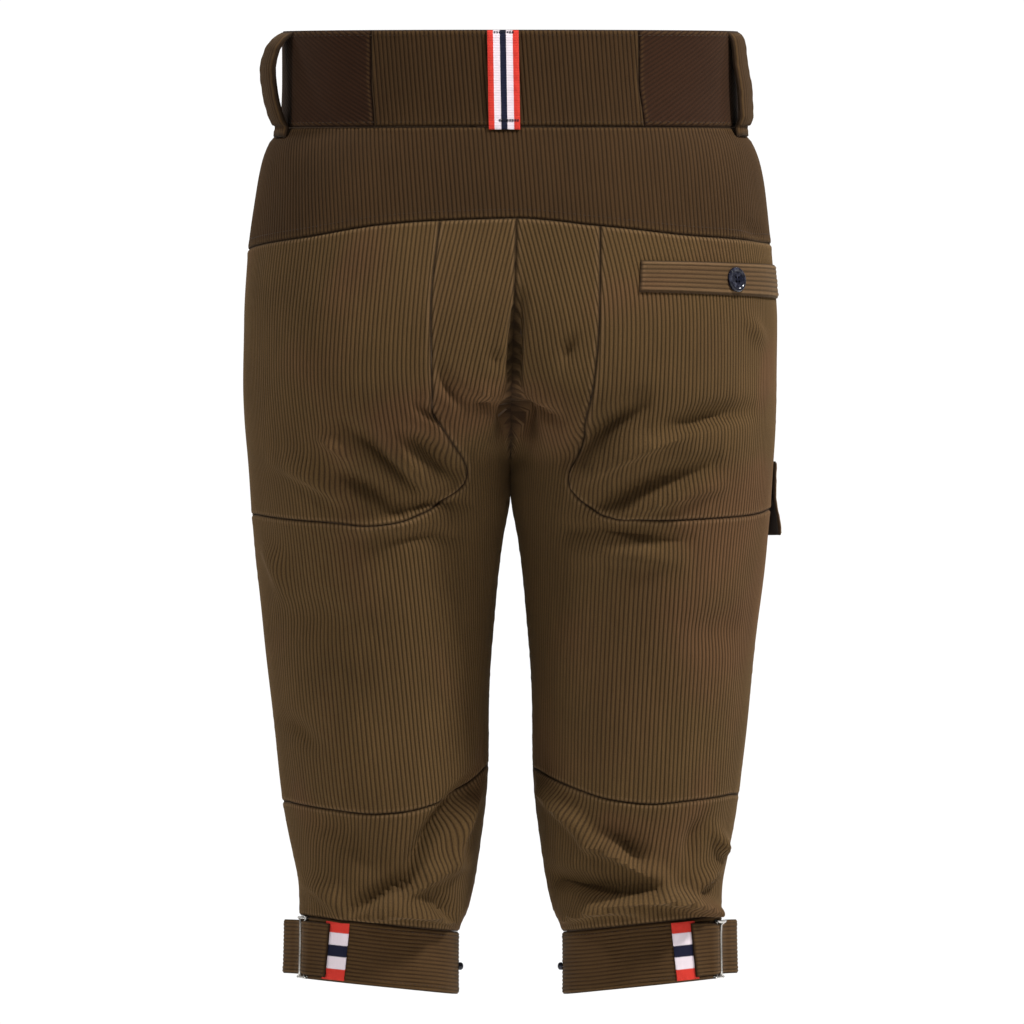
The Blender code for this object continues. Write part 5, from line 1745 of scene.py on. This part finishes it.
class NICKERS_OT_studio(bpy.types.Operator):
    """Set the floor, the soft lamps and the camera"""
    bl_idname = "knickerbockers.studio"
    bl_label = "Studio"

    def lamp(self, name, place, size, power, aim):
        light = bpy.data.lights.new(name, "AREA")
        light.shape, light.size, light.energy = "DISK", size, power
        made = bpy.data.objects.new(name, light)
        bpy.context.scene.collection.objects.link(made)
        made.location = place
        made.rotation_euler = (Vector(aim) - Vector(place)).to_track_quat("-Z", "Y").to_euler()

    def execute(self, context):
        own = context.scene.knickerbocker_studio
        deselect()
        bpy.ops.mesh.primitive_grid_add(x_subdivisions=12, y_subdivisions=12, size=FLOOR_SIZE,
                                        location=(0, 0, own.floor))
        floor = context.object
        floor.name = "studio_floor"
        bpy.ops.object.transform_apply(location=True, rotation=True, scale=True)
        floor.data.materials.append(floor_finish("Studio paper", "#f4f4f4"))
        world = bpy.data.worlds.new("White room")
        world.use_nodes = True
        # A white sweep behind the garment, and a dimmer room behind the camera
        tree = world.node_tree
        direction = add_node(tree, "ShaderNodeTexCoord").outputs["Generated"]
        along = add_node(tree, "ShaderNodeSeparateXYZ", [(0, direction)])
        tree.links.new(spread(tree, along.outputs[1], *SWEEP_EDGE, own.sweep, own.room),
                       tree.nodes["Background"].inputs["Strength"])
        tree.nodes["Background"].inputs["Color"].default_value = (1, 1, 1, 1)
        context.scene.world = world
        context.scene.view_settings.view_transform = "Standard"
        aim = (0, 0, own.aim_height)
        for name, x, y, power in (("near_left", 1.6, 1.0, own.key * DIMMER_LEFT), ("near_right", -1.6, 1.0, own.key),
                                  ("far_left", 1.8, -1.2, own.fill), ("far_right", -1.8, -1.2, own.fill)):
            self.lamp(name, (x, y, LAMP_HEIGHT), LAMP_SIZE, power, aim)
        camera = bpy.data.cameras.new("Camera")
        camera.sensor_width = SENSOR
        camera.lens = SENSOR * own.distance / own.view_width
        camera.clip_end = 400
        holder = bpy.data.objects.new("Camera", camera)
        context.scene.collection.objects.link(holder)
        holder.location = (own.aim_side, own.distance, own.aim_height)
        holder.rotation_euler = (math.pi / 2, 0, math.pi)
        context.scene.camera = holder
        return {"FINISHED"}


class NICKERS_PT_panel(bpy.types.Panel):
    """Lists the garment's pieces in the sidebar"""
    bl_idname = "NICKERS_PT_panel"
    bl_label = "Knickerbockers"
    bl_space_type = "VIEW_3D"
    bl_region_type = "UI"
    bl_category = "Knickerbockers"

    def draw(self, context):
        for group in (context.scene.knickerbocker_cloth, context.scene.knickerbocker_finish,
                      context.scene.knickerbocker_studio):
            box = self.layout.box()
            for name in group.bl_rna.properties.keys():
                if name not in ("rna_type", "name"):
                    box.prop(group, name)
        for operator in OPERATORS:
            self.layout.operator(operator.bl_idname)


GROUPS = {"knickerbocker_cloth": KnickerbockerCloth, "knickerbocker_finish": KnickerbockerFinish,
          "knickerbocker_studio": KnickerbockerStudio}
OPERATORS = (NICKERS_OT_studio, NICKERS_OT_waistband, NICKERS_OT_seat, NICKERS_OT_legs, NICKERS_OT_loops,
             NICKERS_OT_pockets, NICKERS_OT_placket, NICKERS_OT_cuffs, NICKERS_OT_buttons, NICKERS_OT_buckles,
             NICKERS_OT_sewing)


def register():
    for name, group in GROUPS.items():
        bpy.utils.register_class(group)
        setattr(bpy.types.Scene, name, bpy.props.PointerProperty(type=group))
    for made in (*OPERATORS, NICKERS_PT_panel):
        bpy.utils.register_class(made)


def unregister():
    for made in (NICKERS_PT_panel, *reversed(OPERATORS)):
        bpy.utils.unregister_class(made)
    for name, group in GROUPS.items():
        delattr(bpy.types.Scene, name)
        bpy.utils.unregister_class(group)


def main():
    register()
    for operator in OPERATORS:
        getattr(bpy.ops.knickerbockers, operator.bl_idname.split(".")[1])()


if __name__ == "__main__":
    main()
